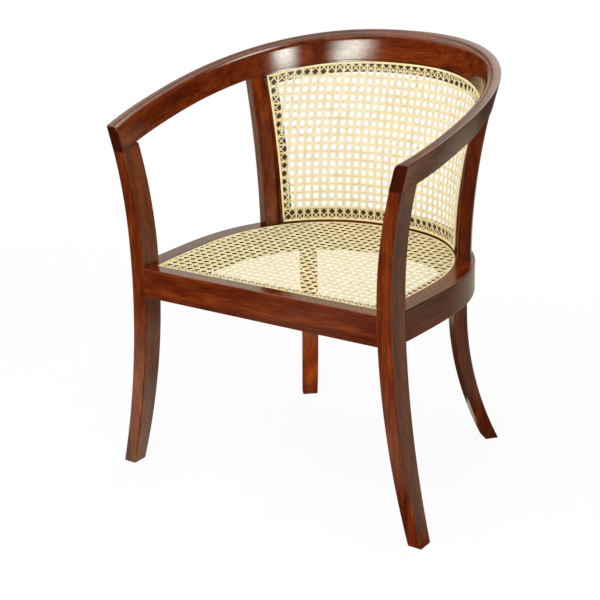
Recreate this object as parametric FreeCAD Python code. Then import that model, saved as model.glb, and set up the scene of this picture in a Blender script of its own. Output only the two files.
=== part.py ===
"""Cane tub armchair.

Millimetres, +Z up. The chair faces -Y, stands on z = 0 and is symmetric about the plane x = 0.
A horseshoe top rail in one tilted plane rests on two front legs and two back posts. A seat hoop of
four rails joins the legs. The seat and the curved back are caned, the cane held by splines in grooves.
"""
import FreeCAD
import Part
import os
from FreeCAD import Vector
from math import cos, radians, sin

# Overall plan: seat hoop, and how far the top rail stands out beyond it
SEAT_HALF_W = 300.5
SEAT_DEPTH = 513.0
SEAT_WIDE_RUN = 186.0
SEAT_POWER = 2.2
TOP_FLARE = 47.0
BACK_RAKE = 43.0
TOP_WIDE_RUN = 148.0
TOP_POWER = 2.33

# Heights
SEAT_TOP = 430.0
SEAT_RAIL_H = 59.0
ARM_RISE = 274.5
TOP_SLOPE = 0.2181

# Seat rails
HOOP_LAND = 9.5
HOOP_JOINT_ANGLE = 43.0
FRONT_RAIL_SETBACK = 1.5

# Front legs
LEG_DEPTH = 49.0
LEG_FOOT_DEPTH = 33.0
LEG_TAPER_DROP = 21.0
LEG_TAPER_POWER = 1.6
LEG_SET_IN = 4.2
LEG_SEAT_W = 30.8
LEG_FOOT_W = 29.0
LEG_FOOT_FLARE = 58.2
LEG_TOP_W = 24.5
FOOT_POWER = 1.95
LEG_OUT_POWER = 2.3
LEG_IN_POWER = 2.1

# Top rail section
RAIL_T = 26.0
RAIL_H = 49.0
RAIL_LEAN = 13.0
RAIL_ROUND = 8.0
TOP_JOINT_ANGLE = 24.0

# Back legs
BACK_LEG_ANGLE = 52.0
BACK_LEG_SETBACK = 1.5
BACK_LEG_T = 28.0
BACK_LEG_W = 37.0
BACK_FOOT_W = 33.0
BACK_SWEEP = 72.0
BACK_LEG_STRAIGHT = 73.0

# Back posts
POST_ANGLE = 35.2
POST_EDGE = 7.0
POST_T = 26.0
POST_W = 33.0

# Back panel: a curved frame between the posts
PANEL_RECESS = 3.0
PANEL_T = 14.0
PANEL_SILL = 29.0
PANEL_HEAD = 24.0
PANEL_STILE = 24.0
PANEL_LIP = 4.0

# Cane, spline and groove
CANE_T = 1.5
BACK_CANE_T = 1.2
GROOVE_W = 4.5
GROOVE_D = 6.0
BACK_GROOVE_D = 5.0
CANE_TURN = 1.2
SPLINE_PROUD = 0.8
SEAT_GROOVE_STRIP = 0.8
GROOVE_FRONT = 28.5

# Openings of the cane sheets: a plain grid that stands for the fine weave
MESH_STRIP = 14.0
MESH_RIM = 4.0
SEAT_MESH_ACROSS = 12
SEAT_MESH_DEEP = 10
BACK_MESH_ACROSS = 10
BACK_MESH_HIGH = 7
MESH_LEAST = 0.3

# Joinery
TENON_T = 12.0
TENON_ROOT = 6.0
TENON_WALL = 7.0
FRONT_TENON_SETBACK = 16.0
FRONT_TENON_COVER = 11.8
RAIL_TENON_SHOULDER = 9.5
LEG_TENON_SHOULDER = 11.5
POST_TENON_SHOULDER = 6.5
BACK_TENON_SHOULDER = 7.5
TOP_TENON_COVER = 25.0
POST_TENON_COVER = 37.0
BACK_TENON_COVER = 29.0
LOOSE_L = 40.0
LOOSE_CHEEK = 8.0
LOOSE_COVER = 12.0
HOOP_TENON_LIFT = 10.0

# Corner blocks and their screws
BLOCK_SET = 6.0
BLOCK_REACH = 62.0
BLOCK_NOSE = 14.0
BLOCK_LIFT = 11.5
SCREW_D = 4.5
SCREW_L = 42.0
SCREW_HEAD_D = 8.5
SCREW_HEAD_H = 3.0
SCREW_FRONT_X = 36.0
SCREW_FRONT_SINK = 18.0
SCREW_SIDE_Y = 30.0
SCREW_SIDE_SINK = 27.0
SCREW_STAGGER = 9.0

# Larger than the whole chair, for the solids that only cut
FAR = 2.0 * (SEAT_DEPTH + SEAT_HALF_W)

FRONT_Y = -0.5 * (SEAT_DEPTH + BACK_RAKE)
SEAT_BACK_Y = FRONT_Y + SEAT_DEPTH
SEAT_WIDE_Y = FRONT_Y + SEAT_WIDE_RUN
SEAT_BOTTOM = SEAT_TOP - SEAT_RAIL_H
LEG_BACK_Y = FRONT_Y + LEG_DEPTH
RAIL_FACE_Y = FRONT_Y + FRONT_RAIL_SETBACK
LEG_OUT_SEAT = SEAT_HALF_W - LEG_SET_IN
LEG_IN_SEAT = LEG_OUT_SEAT - LEG_SEAT_W
TOP_HALF_W = SEAT_HALF_W + TOP_FLARE
TOP_BACK_Y = SEAT_BACK_Y + BACK_RAKE
TOP_WIDE_Y = FRONT_Y + TOP_WIDE_RUN
TOP_FRONT_Z = SEAT_TOP + ARM_RISE
RAIL_INSIDE = RAIL_T + RAIL_LEAN
PANEL_FRONT = RAIL_INSIDE - PANEL_RECESS
PANEL_BACK = PANEL_FRONT - PANEL_T
GROOVE_INSET = PANEL_FRONT + BACK_CANE_T + SEAT_GROOVE_STRIP
HOOP_W = GROOVE_INSET + GROOVE_W + HOOP_LAND
FRONT_TENON_L = LEG_SEAT_W - FRONT_TENON_COVER
SIDE_TENON_L = LEG_DEPTH - FRONT_TENON_SETBACK - 0.5 * TENON_T - TENON_WALL
RAIL_TENON_H = SEAT_RAIL_H - 2.0 * RAIL_TENON_SHOULDER
TOP_TENON_H = RAIL_H - TOP_TENON_COVER
POST_TENON_H = SEAT_RAIL_H - POST_TENON_COVER
BACK_TENON_H = SEAT_RAIL_H - BACK_TENON_COVER
LOOSE_T = RAIL_T - 2.0 * LOOSE_CHEEK
LOOSE_H = RAIL_H - 2.0 * LOOSE_COVER
BLOCK_H = SEAT_RAIL_H - 2.0 * BLOCK_LIFT


def superellipse(half_w, wide_y, reach, power, angle):
    """Point and outward normal of the right half of a superellipse, in plan."""
    c = abs(cos(angle))
    s = abs(sin(angle))
    side = 1.0 if sin(angle) >= 0.0 else -1.0
    x = half_w * c ** (2.0 / power)
    y = wide_y + side * reach * s ** (2.0 / power)
    fall = 2.0 - 2.0 / power
    normal = Vector(c ** fall / half_w, side * s ** fall / reach, 0)
    return Vector(x, y, 0), normal.normalize()


def seat_front_reach():
    """How far the front half of the seat plan would run, so that it meets the front leg."""
    run = SEAT_WIDE_Y - LEG_BACK_Y
    share = (1.0 - (LEG_OUT_SEAT / SEAT_HALF_W) ** SEAT_POWER) ** (1.0 / SEAT_POWER)
    return run / share


def hoop_point(kind, degree, inset):
    """A point of the seat plan or of the top rail plan, moved inward by inset.

    The angle runs from the right front over 90 at the back to the left front.
    """
    left = degree > 90.0
    angle = radians(180.0 - degree if left else degree)
    if kind == "seat":
        reach = SEAT_BACK_Y - SEAT_WIDE_Y if angle >= 0.0 else seat_front_reach()
        point, normal = superellipse(SEAT_HALF_W, SEAT_WIDE_Y, reach, SEAT_POWER, angle)
    else:
        reach = TOP_BACK_Y - TOP_WIDE_Y
        point, normal = superellipse(TOP_HALF_W, TOP_WIDE_Y, reach, TOP_POWER, angle)
    point = point - normal * inset
    if left:
        point.x = -point.x
        normal.x = -normal.x
    return point, normal


def top_plane(y):
    """Height of the top rail's upper face."""
    return TOP_FRONT_Z + TOP_SLOPE * (y - FRONT_Y)


def spread(first, last, count):
    return [first + (last - first) * i / (count - 1) for i in range(count)]


def spline_edge(points):
    curve = Part.BSplineCurve()
    curve.interpolate(points)
    return curve.toShape()


def crossing(low, high, passed):
    """Where a test turns from false at low to true at high."""
    for _ in range(50):
        mid = 0.5 * (low + high)
        if passed(mid):
            high = mid
        else:
            low = mid
    return 0.5 * (low + high)


def angle_at(kind, y, inset):
    """Angle of a plan curve, on the right front, where its inset line crosses a given y."""
    return crossing(-89.0, 0.0, lambda degree: hoop_point(kind, degree, inset)[0].y > y)


def seat_line(inset, front_y, z, count=41):
    """The inset line of the seat plan from the right front round the back to the left front."""
    start = angle_at("seat", front_y, inset)
    points = []
    for degree in spread(start, 180.0 - start, count):
        point = hoop_point("seat", degree, inset)[0]
        points.append(Vector(point.x, point.y, z))
    return points


def seat_outline(inset, front_y, z):
    """Closed outline: the inset line of the seat plan and a straight front."""
    points = seat_line(inset, front_y, z)
    curve = spline_edge(points)
    return Part.Wire([curve, Part.makeLine(points[-1], points[0])])


def prism(wire, rise):
    return Part.Face(wire).extrude(Vector(0, 0, rise))


def polygon(points):
    return Part.makePolygon(points + [points[0]])


def box_on(centre, along, across, length, width, height):
    """Upright box standing on its base centre, turned to two horizontal directions."""
    a = along * (0.5 * length)
    b = across * (0.5 * width)
    base = polygon([centre - a - b, centre + a - b, centre + a + b, centre - a + b])
    return Part.Face(base).extrude(Vector(0, 0, height))


def leaning_box(centre, along, across, length, width, rise):
    """Box on a sloping axis: its base is level and its sides follow the rise vector."""
    a = along * (0.5 * length)
    b = across * (0.5 * width)
    base = polygon([centre - a - b, centre + a - b, centre + a + b, centre - a + b])
    return Part.Face(base).extrude(rise)


def above_rail_plane(drop):
    """Everything above a plane parallel to the top rail's upper face, lowered by drop."""
    def corner(x, y):
        return Vector(x, y, top_plane(y) - drop)
    base = polygon([corner(-FAR, -FAR), corner(FAR, -FAR), corner(FAR, FAR), corner(-FAR, FAR)])
    return Part.Face(base).extrude(Vector(0, 0, 2.0 * FAR))


def sideways(out):
    return Vector(-out.y, out.x, 0)


def mirrored(shape):
    return shape.mirror(Vector(0, 0, 0), Vector(1, 0, 0))


def leg_edge(seat_x, foot_x, top_x, top_power, z):
    if z <= SEAT_TOP:
        return seat_x + (foot_x - seat_x) * ((SEAT_TOP - z) / SEAT_TOP) ** FOOT_POWER
    return seat_x + (top_x - seat_x) * ((z - SEAT_TOP) / (TOP_FRONT_Z - SEAT_TOP)) ** top_power


def arm_front_x():
    """Where the outer top edge of the arm ends, in the plane of the front legs' front faces."""
    return hoop_point("top", angle_at("top", FRONT_Y, 0.0), 0.0)[0].x


def leg_outer(z):
    return leg_edge(LEG_OUT_SEAT, LEG_OUT_SEAT + LEG_FOOT_FLARE, arm_front_x(), LEG_OUT_POWER, z)


def leg_inner(z):
    return leg_edge(LEG_IN_SEAT, LEG_OUT_SEAT + LEG_FOOT_FLARE - LEG_FOOT_W, arm_front_x() - LEG_TOP_W,
                    LEG_IN_POWER, z)


def front_leg_blank():
    """Right front leg without mortises: sideways curve and tapered depth, up to the arm's underside."""
    heights = spread(0.0, TOP_FRONT_Z, 17)
    outer = [Vector(leg_outer(z), FRONT_Y, z) for z in heights]
    inner = [Vector(leg_inner(z), FRONT_Y, z) for z in heights]
    face = Part.Face(Part.Wire([
        spline_edge(outer),
        Part.makeLine(outer[-1], inner[-1]),
        spline_edge(inner[::-1]),
        Part.makeLine(inner[0], outer[0]),
    ]))
    blank = face.extrude(Vector(0, LEG_DEPTH, 0))
    taper_top = SEAT_BOTTOM - LEG_TAPER_DROP
    taper = []
    for z in spread(0.0, taper_top, 7):
        share = (1.0 - z / taper_top) ** LEG_TAPER_POWER
        taper.append(Vector(0, LEG_BACK_Y - (LEG_DEPTH - LEG_FOOT_DEPTH) * share, z))
    corner = Vector(0, FAR, taper_top)
    toe = Vector(0, FAR, 0)
    waste = Part.Face(Part.Wire([
        spline_edge(taper),
        Part.makeLine(taper[-1], corner),
        Part.makeLine(corner, toe),
        Part.makeLine(toe, taper[0]),
    ])).extrude(Vector(FAR, 0, 0))
    return blank.cut(waste).cut(above_rail_plane(RAIL_H))


def leg_arm_tenon():
    """Tenon on the right front leg's top, leaning with the leg."""
    y = FRONT_Y + 0.5 * LEG_DEPTH
    z = top_plane(y) - RAIL_H
    centre = Vector(0.5 * (leg_outer(z) + leg_inner(z)), y, z)
    rise = Vector(RAIL_LEAN / RAIL_H, 0, 1)
    return leaning_box(centre - rise * TENON_ROOT, Vector(0, 1, 0), Vector(1, 0, 0),
                       LEG_DEPTH - 2.0 * LEG_TENON_SHOULDER, TENON_T, rise * (TOP_TENON_H + TENON_ROOT))


def rail_section(degree):
    """Section of the top rail at one angle: a leaning bar with a rounded inner top edge."""
    start, normal = hoop_point("top", degree, 0.0)

    def corner(u, v):
        x = start.x - normal.x * u
        y = start.y - normal.y * u
        return Vector(x, y, top_plane(y) - v)

    outer_top = corner(0.0, 0.0)
    flat_end = corner(RAIL_T - RAIL_ROUND, 0.0)
    face_start = corner(RAIL_T + RAIL_LEAN * RAIL_ROUND / RAIL_H, RAIL_ROUND)
    inner_low = corner(RAIL_INSIDE, RAIL_H)
    outer_low = corner(RAIL_LEAN, RAIL_H)
    turn = Part.BezierCurve()
    turn.setPoles([flat_end, corner(RAIL_T, 0.0), face_start])
    return Part.Wire([
        Part.makeLine(outer_top, flat_end),
        turn.toShape(),
        Part.makeLine(face_start, inner_low),
        Part.makeLine(inner_low, outer_low),
        Part.makeLine(outer_low, outer_top),
    ])


def rail_piece(first, last, count):
    sections = [rail_section(degree) for degree in spread(first, last, count)]
    return Part.makeLoft(sections, True, False)


def loose_tenon(kind, degree, inset, z):
    """Loose tenon across a rail joint, lying along the rail."""
    centre, normal = hoop_point(kind, degree, inset)
    return box_on(Vector(centre.x, centre.y, z), sideways(normal), normal, LOOSE_L, LOOSE_T, LOOSE_H)


def swept_bar(inner, outer, tangent, width):
    """Bar sawn from a flat profile: two side curves, joined at the ends, given a width."""
    half = tangent * (0.5 * width)
    profile = Part.Wire([
        spline_edge(inner),
        Part.makeLine(inner[-1], outer[-1]),
        spline_edge(outer[::-1]),
        Part.makeLine(outer[0], inner[0]),
    ])
    bar = Part.Face(profile)
    bar.translate(half * -1.0)
    return bar.extrude(tangent * width)


def back_leg():
    """Right back leg: a sabre curve in a radial plane, narrowing to the foot, with a top tenon."""
    base, out = hoop_point("seat", BACK_LEG_ANGLE, BACK_LEG_SETBACK + BACK_LEG_T)
    tangent = sideways(out)
    sweep_top = SEAT_BOTTOM - BACK_LEG_STRAIGHT

    def sweep(z):
        return BACK_SWEEP * max(0.0, 1.0 - z / sweep_top) ** 2

    heights = spread(0.0, SEAT_BOTTOM, 13)
    inner = [base + out * sweep(z) + Vector(0, 0, z) for z in heights]
    outer = [point + out * BACK_LEG_T for point in inner]
    bar = swept_bar(inner, outer, tangent, BACK_LEG_W)
    low = base - out * (0.5 * FAR)
    high = Vector(low.x, low.y, SEAT_BOTTOM)
    taper = polygon([
        low - tangent * (0.5 * BACK_FOOT_W),
        low + tangent * (0.5 * BACK_FOOT_W),
        high + tangent * (0.5 * BACK_LEG_W),
        high - tangent * (0.5 * BACK_LEG_W),
    ])
    bar = bar.common(Part.Face(taper).extrude(out * FAR))
    middle = base + out * (0.5 * BACK_LEG_T) + Vector(0, 0, SEAT_BOTTOM - TENON_ROOT)
    tenon = box_on(middle, tangent, out, BACK_LEG_W - 2.0 * BACK_TENON_SHOULDER, TENON_T,
                   BACK_TENON_H + TENON_ROOT)
    return bar.fuse(tenon).removeSplitter()


def post_line():
    """Inner face of the right post: its foot on the hoop, its head under the rail, its direction."""
    foot = hoop_point("seat", POST_ANGLE, POST_EDGE + POST_T)[0]
    head = hoop_point("top", POST_ANGLE, RAIL_INSIDE)[0]
    run = head - foot
    out = Vector(run.x, run.y, 0).normalize()
    return foot, head, out


def back_post():
    """Right back post: curved outward, standing on the hoop, with a tenon at each end."""
    foot, head, out = post_line()
    tangent = sideways(out)
    rise = top_plane(head.y) - RAIL_H - SEAT_TOP
    reach = (head - foot).Length

    def sweep(z):
        return reach * ((z - SEAT_TOP) / rise) ** 2

    heights = spread(SEAT_TOP, SEAT_TOP + rise + RAIL_H, 11)
    inner = [foot + out * sweep(z) + Vector(0, 0, z) for z in heights]
    outer = [point + out * POST_T for point in inner]
    bar = swept_bar(inner, outer, tangent, POST_W).cut(above_rail_plane(RAIL_H))
    tenon_w = POST_W - 2.0 * POST_TENON_SHOULDER
    start = foot + out * (0.5 * POST_T) + Vector(0, 0, SEAT_TOP - POST_TENON_H)
    low = box_on(start, tangent, out, tenon_w, TENON_T, POST_TENON_H + TENON_ROOT)
    middle = head + out * (0.5 * POST_T)
    axis = out * (2.0 * reach / rise) + Vector(0, 0, 1)
    start = Vector(middle.x, middle.y, top_plane(middle.y) - RAIL_H) - axis * (2.0 * TENON_ROOT)
    high = leaning_box(start, tangent, out, tenon_w, TENON_T, axis * (TOP_TENON_H + 2.0 * TENON_ROOT))
    return bar.fuse(low).fuse(high).removeSplitter()


def tub_point(degree, inset, low, high, share):
    """A point of the curved back, at one angle and inset.

    Share 0 is the level plane SEAT_TOP + low, share 1 is the top rail's underside lowered by high.
    """
    foot = hoop_point("seat", degree, inset)[0]
    head = hoop_point("top", degree, inset)[0]
    point = foot
    for _ in range(40):
        under = top_plane(point.y) - RAIL_H
        z = (1.0 - share) * (SEAT_TOP + low) + share * (under - high)
        rise = max(0.0, (z - SEAT_TOP) / (under - SEAT_TOP))
        point = foot + (head - foot) * rise ** 2
    return Vector(point.x, point.y, z)


def tub_slab(front, back):
    """Curved slab of the whole back between two insets, from the seat hoop to the top rail."""
    start = 0.5 * POST_ANGLE
    sections = []
    for share in spread(0.0, 1.0, 6):
        face = [tub_point(d, front, 0.0, 0.0, share) for d in spread(start, 180.0 - start, 25)]
        rear = [tub_point(d, back, 0.0, 0.0, share) for d in spread(start, 180.0 - start, 25)]
        sections.append(Part.Wire([
            spline_edge(face),
            Part.makeLine(face[-1], rear[-1]),
            spline_edge(rear[::-1]),
            Part.makeLine(rear[0], face[0]),
        ]))
    return Part.makeLoft(sections, True, False)


def side_band(first, last):
    """Upright band behind the right post, between two distances from the post's rear face."""
    foot, head, out = post_line()
    tangent = sideways(out)
    rear = foot + tangent * (0.5 * POST_W)
    corners = [rear + tangent * first - out * FAR, rear + tangent * first + out * FAR,
               rear + tangent * last + out * FAR, rear + tangent * last - out * FAR]
    return prism(polygon(corners), 2.0 * FAR)


def panel_region(side, low, high):
    """Everything inside the edges of the back panel, by a distance at the sides, below and above."""
    block = Part.makeBox(2.0 * FAR, FAR, FAR, Vector(-FAR, 0, SEAT_TOP + low))
    block = block.cut(above_rail_plane(RAIL_H + high))
    outside = side_band(side, side - 2.0 * FAR)
    return block.cut(outside).cut(mirrored(outside))


def panel_inside(border):
    return panel_region(border, border, border)


def panel_ring(outer, inner):
    return panel_inside(outer).cut(panel_inside(inner))


def whole_openings(blanks, region):
    """Openings trimmed by a region. One that keeps too little of its volume is left closed."""
    openings = []
    for blank in blanks:
        trimmed = blank.common(region)
        if trimmed.Volume > MESH_LEAST * blank.Volume:
            openings.append(trimmed)
    return Part.makeCompound(openings)


def seat_openings():
    """Grid of openings in the seat cane, clear of the rails."""
    first_x = SEAT_HALF_W - HOOP_W - MESH_RIM
    first_y = LEG_BACK_Y + MESH_RIM
    last_y = SEAT_BACK_Y - HOOP_W - MESH_RIM
    pitch_x = (2.0 * first_x + MESH_STRIP) / SEAT_MESH_ACROSS
    pitch_y = (last_y - first_y + MESH_STRIP) / SEAT_MESH_DEEP
    low = SEAT_TOP - GROOVE_D
    blanks = []
    for i in range(SEAT_MESH_ACROSS):
        for j in range(SEAT_MESH_DEEP):
            corner = Vector(pitch_x * i - first_x, pitch_y * j + first_y, low)
            blanks.append(Part.makeBox(pitch_x - MESH_STRIP, pitch_y - MESH_STRIP, 2.0 * GROOVE_D, corner))
    return whole_openings(blanks, prism(seat_outline(HOOP_W + MESH_RIM, first_y, low), 2.0 * GROOVE_D))


def back_run(degree):
    """Length along the foot of the back panel from an angle to the middle of the back."""
    line = [hoop_point("seat", d, PANEL_FRONT)[0] for d in spread(degree, 90.0, 41)]
    return sum((after - before).Length for before, after in zip(line, line[1:]))


def back_strip_angles():
    """Angles of the upright strips between the back's openings, evenly spaced along its foot."""
    foot, head, out = post_line()
    tangent = sideways(out)
    edge = 0.5 * POST_W + PANEL_STILE + MESH_RIM - 0.5 * MESH_STRIP

    def past_edge(degree):
        return (hoop_point("seat", degree, PANEL_FRONT)[0] - foot).dot(tangent) > edge

    start = crossing(0.5 * POST_ANGLE, 90.0, past_edge)
    half_run = back_run(start)
    degrees = []
    for i in range(BACK_MESH_ACROSS + 1):
        run = half_run * (1.0 - 2.0 * i / BACK_MESH_ACROSS)
        degree = crossing(start, 90.0, lambda d: back_run(d) < abs(run))
        degrees.append(degree if run >= 0.0 else 180.0 - degree)
    return degrees


def back_columns():
    """Upright wedges between neighbouring strips of the back cane."""
    degrees = back_strip_angles()
    wedges = []
    for first, last in zip(degrees, degrees[1:]):
        corners = []
        for degree, side in ((first, 0.5), (last, -0.5)):
            shift = sideways(hoop_point("seat", degree, 0.0)[1]) * (side * MESH_STRIP)
            for inset in (2.0 * PANEL_FRONT, -2.0 * BACK_RAKE):
                corners.append(hoop_point("seat", degree, inset)[0] + shift)
        wedges.append(prism(polygon([corners[0], corners[1], corners[3], corners[2]]), FAR))
    return wedges


def back_rows():
    """Lying wedges between neighbouring strips, from the panel's sill to its sloping head."""
    def bound(share, shift, y):
        low = SEAT_TOP + PANEL_SILL + MESH_RIM - 0.5 * MESH_STRIP
        high = top_plane(y) - RAIL_H - PANEL_HEAD - MESH_RIM + 0.5 * MESH_STRIP
        return Vector(-FAR, y, low + (high - low) * share + shift)
    wedges = []
    for j in range(BACK_MESH_HIGH):
        first = j / BACK_MESH_HIGH
        last = (j + 1) / BACK_MESH_HIGH
        half = 0.5 * MESH_STRIP
        outline = polygon([bound(first, half, SEAT_WIDE_Y), bound(first, half, TOP_BACK_Y),
                           bound(last, -half, TOP_BACK_Y), bound(last, -half, SEAT_WIDE_Y)])
        wedges.append(Part.Face(outline).extrude(Vector(2.0 * FAR, 0, 0)))
    return wedges


def back_openings():
    """Grid of openings in the back cane, clear of the panel's members."""
    rows = back_rows()
    blanks = [column.common(row) for column in back_columns() for row in rows]
    region = panel_region(PANEL_STILE + MESH_RIM, PANEL_SILL + MESH_RIM, PANEL_HEAD + MESH_RIM)
    return whole_openings(blanks, region)


def screw(head, direction):
    """Wood screw with a flat head, from its head centre along a direction."""
    shank = Part.makeCylinder(0.5 * SCREW_D, SCREW_L, head, direction)
    cap = Part.makeCylinder(0.5 * SCREW_HEAD_D, SCREW_HEAD_H, head, direction)
    return shank.fuse(cap).removeSplitter()


def counterbore(head, direction):
    """The hole through which a sunk screw is driven."""
    return Part.makeCylinder(0.5 * SCREW_HEAD_D, BLOCK_REACH, head, direction * -1.0)


def build():
    pieces = {}

    # Top rail: three pieces that meet at two sections
    front_cut = Part.makeBox(2.0 * FAR, FAR, 2.0 * FAR, Vector(-FAR, FRONT_Y - FAR, 0))
    front_angle = angle_at("top", FRONT_Y - RAIL_INSIDE, 0.0)
    arm = rail_piece(front_angle, TOP_JOINT_ANGLE, 11).cut(front_cut)
    crest = rail_piece(TOP_JOINT_ANGLE, 180.0 - TOP_JOINT_ANGLE, 21)
    joint_inset = 0.5 * RAIL_INSIDE
    joint_point = hoop_point("top", TOP_JOINT_ANGLE, joint_inset)[0]
    joint_z = top_plane(joint_point.y) - 0.5 * (RAIL_H + LOOSE_H)
    crest_tenon = loose_tenon("top", TOP_JOINT_ANGLE, joint_inset, joint_z)

    # Legs and posts
    blank = front_leg_blank()
    leg = blank.fuse(leg_arm_tenon()).removeSplitter()
    rear_leg = back_leg()
    post = back_post()

    # Seat hoop: front rail between the legs, then one ring that is divided into three rails
    rail_end = 0.5 * (LEG_IN_SEAT + LEG_OUT_SEAT)
    front_rail = Part.makeBox(2.0 * rail_end, LEG_BACK_Y - RAIL_FACE_Y, SEAT_RAIL_H,
                              Vector(-rail_end, RAIL_FACE_Y, SEAT_BOTTOM))
    front_rail = front_rail.cut(blank).cut(mirrored(blank))
    tenon_z = SEAT_BOTTOM + RAIL_TENON_SHOULDER
    tenon_y = FRONT_Y + FRONT_TENON_SETBACK - 0.5 * TENON_T
    tenon = Part.makeBox(FRONT_TENON_L + TENON_ROOT, TENON_T, RAIL_TENON_H,
                         Vector(LEG_IN_SEAT - TENON_ROOT, tenon_y, tenon_z))
    front_rail = front_rail.fuse(tenon).fuse(mirrored(tenon)).removeSplitter()

    outside = seat_line(0.0, LEG_BACK_Y, SEAT_BOTTOM)
    inside = seat_line(HOOP_W, LEG_BACK_Y, SEAT_BOTTOM)
    hoop = Part.Face(Part.Wire([
        spline_edge(outside),
        Part.makeLine(outside[-1], inside[-1]),
        spline_edge(inside[::-1]),
        Part.makeLine(inside[0], outside[0]),
    ])).extrude(Vector(0, 0, SEAT_RAIL_H))
    cane_front = RAIL_FACE_Y + GROOVE_FRONT
    groove_outer = prism(seat_outline(GROOVE_INSET, cane_front, SEAT_TOP - GROOVE_D), 2.0 * GROOVE_D)
    turn_inset = GROOVE_INSET + GROOVE_W - CANE_TURN
    turn_outer = prism(seat_outline(turn_inset, cane_front + GROOVE_W - CANE_TURN,
                                    SEAT_TOP - GROOVE_D), GROOVE_D)
    land_wire = seat_outline(GROOVE_INSET + GROOVE_W, cane_front + GROOVE_W, SEAT_TOP - GROOVE_D)
    land = prism(land_wire, GROOVE_D - CANE_T)
    recess = groove_outer.cut(land)
    seat_cane = turn_outer.cut(land).cut(seat_openings())
    spline_top = Part.makeBox(2.0 * FAR, 2.0 * FAR, FAR, Vector(-FAR, -FAR, SEAT_TOP + SPLINE_PROUD))
    turn_tall = prism(seat_outline(turn_inset, cane_front + GROOVE_W - CANE_TURN,
                                   SEAT_TOP - GROOVE_D), 3.0 * GROOVE_D)
    seat_spline = groove_outer.cut(turn_tall).cut(spline_top)
    front_rail = front_rail.cut(recess)
    hoop = hoop.cut(recess)

    edge, normal = hoop_point("seat", HOOP_JOINT_ANGLE, 0.0)
    along = sideways(normal)
    far_in = edge - normal * (SEAT_DEPTH - LEG_DEPTH)
    far_out = edge + normal * FAR
    wedge = prism(polygon([far_in, far_out, far_out - along * FAR, far_in - along * FAR]), FAR)
    side_rail = hoop.common(wedge)
    back_rail = hoop.cut(wedge).cut(mirrored(wedge))
    side_tenon = Part.makeBox(TENON_T, SIDE_TENON_L + TENON_ROOT, RAIL_TENON_H,
                              Vector(0.5 * (LEG_IN_SEAT + LEG_OUT_SEAT - TENON_T),
                                     LEG_BACK_Y - SIDE_TENON_L, tenon_z))
    side_rail = side_rail.fuse(side_tenon).removeSplitter()
    hoop_tenon = loose_tenon("seat", HOOP_JOINT_ANGLE, 0.5 * GROOVE_INSET, SEAT_BOTTOM + HOOP_TENON_LIFT)

    # Mortises
    leg = leg.cut(front_rail).cut(side_rail)
    arm = arm.cut(leg).cut(post).cut(crest_tenon)
    crest = crest.cut(crest_tenon).cut(mirrored(crest_tenon)).cut(post).cut(mirrored(post))
    side_rail = side_rail.cut(hoop_tenon).cut(post)
    back_rail = back_rail.cut(hoop_tenon).cut(mirrored(hoop_tenon))
    back_rail = back_rail.cut(post).cut(mirrored(post)).cut(rear_leg).cut(mirrored(rear_leg))
    side_rail = side_rail.cut(rear_leg)

    # Back panel: frame members, cane and spline
    slab = tub_slab(PANEL_FRONT, PANEL_BACK)
    groove = tub_slab(PANEL_FRONT, PANEL_FRONT - BACK_GROOVE_D)
    slab = slab.cut(groove.common(panel_ring(PANEL_LIP, PANEL_LIP + GROOVE_W)))
    frame = slab.common(panel_inside(0.0).cut(panel_region(PANEL_STILE, PANEL_SILL, PANEL_HEAD)))
    cap = above_rail_plane(RAIL_H + PANEL_HEAD)
    sill = Part.makeBox(2.0 * FAR, 2.0 * FAR, PANEL_SILL, Vector(-FAR, -FAR, SEAT_TOP))
    panel_top = frame.common(cap)
    panel_bottom = frame.common(sill)
    stiles = frame.cut(cap).cut(sill)
    right_half = Part.makeBox(FAR, 2.0 * FAR, 2.0 * FAR, Vector(0, -FAR, 0))
    stile = stiles.common(right_half)

    turn_at = PANEL_LIP + GROOVE_W - CANE_TURN
    plug = tub_slab(PANEL_FRONT + BACK_CANE_T, PANEL_FRONT - BACK_GROOVE_D)
    back_spline = plug.common(panel_ring(PANEL_LIP, turn_at))
    back_cane = plug.common(panel_inside(turn_at))
    back_cane = back_cane.cut(groove.common(panel_inside(PANEL_LIP + GROOVE_W))).cut(back_openings())

    # Corner blocks, screwed to the front rail and the side rail
    corner = Vector(LEG_IN_SEAT - BLOCK_SET, LEG_BACK_Y, SEAT_BOTTOM + BLOCK_LIFT)
    block = prism(polygon([corner, corner + Vector(-BLOCK_REACH, 0, 0),
                           corner + Vector(-BLOCK_NOSE, BLOCK_REACH, 0),
                           corner + Vector(0, BLOCK_REACH, 0)]), BLOCK_H)
    block = block.cut(side_rail)
    block_mid = corner.z + 0.5 * BLOCK_H
    front_head = Vector(corner.x - SCREW_FRONT_X, LEG_BACK_Y + SCREW_FRONT_SINK, block_mid - SCREW_STAGGER)
    side_head = Vector(corner.x - SCREW_SIDE_SINK, LEG_BACK_Y + SCREW_SIDE_Y, block_mid + SCREW_STAGGER)
    to_front = screw(front_head, Vector(0, -1, 0))
    to_side = screw(side_head, Vector(1, 0, 0))
    pilot = to_front.fuse(to_side)
    block = block.cut(pilot).cut(counterbore(front_head, Vector(0, -1, 0)))
    block = block.cut(counterbore(side_head, Vector(1, 0, 0)))
    front_rail = front_rail.cut(pilot).cut(mirrored(pilot))
    side_rail = side_rail.cut(pilot)

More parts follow.
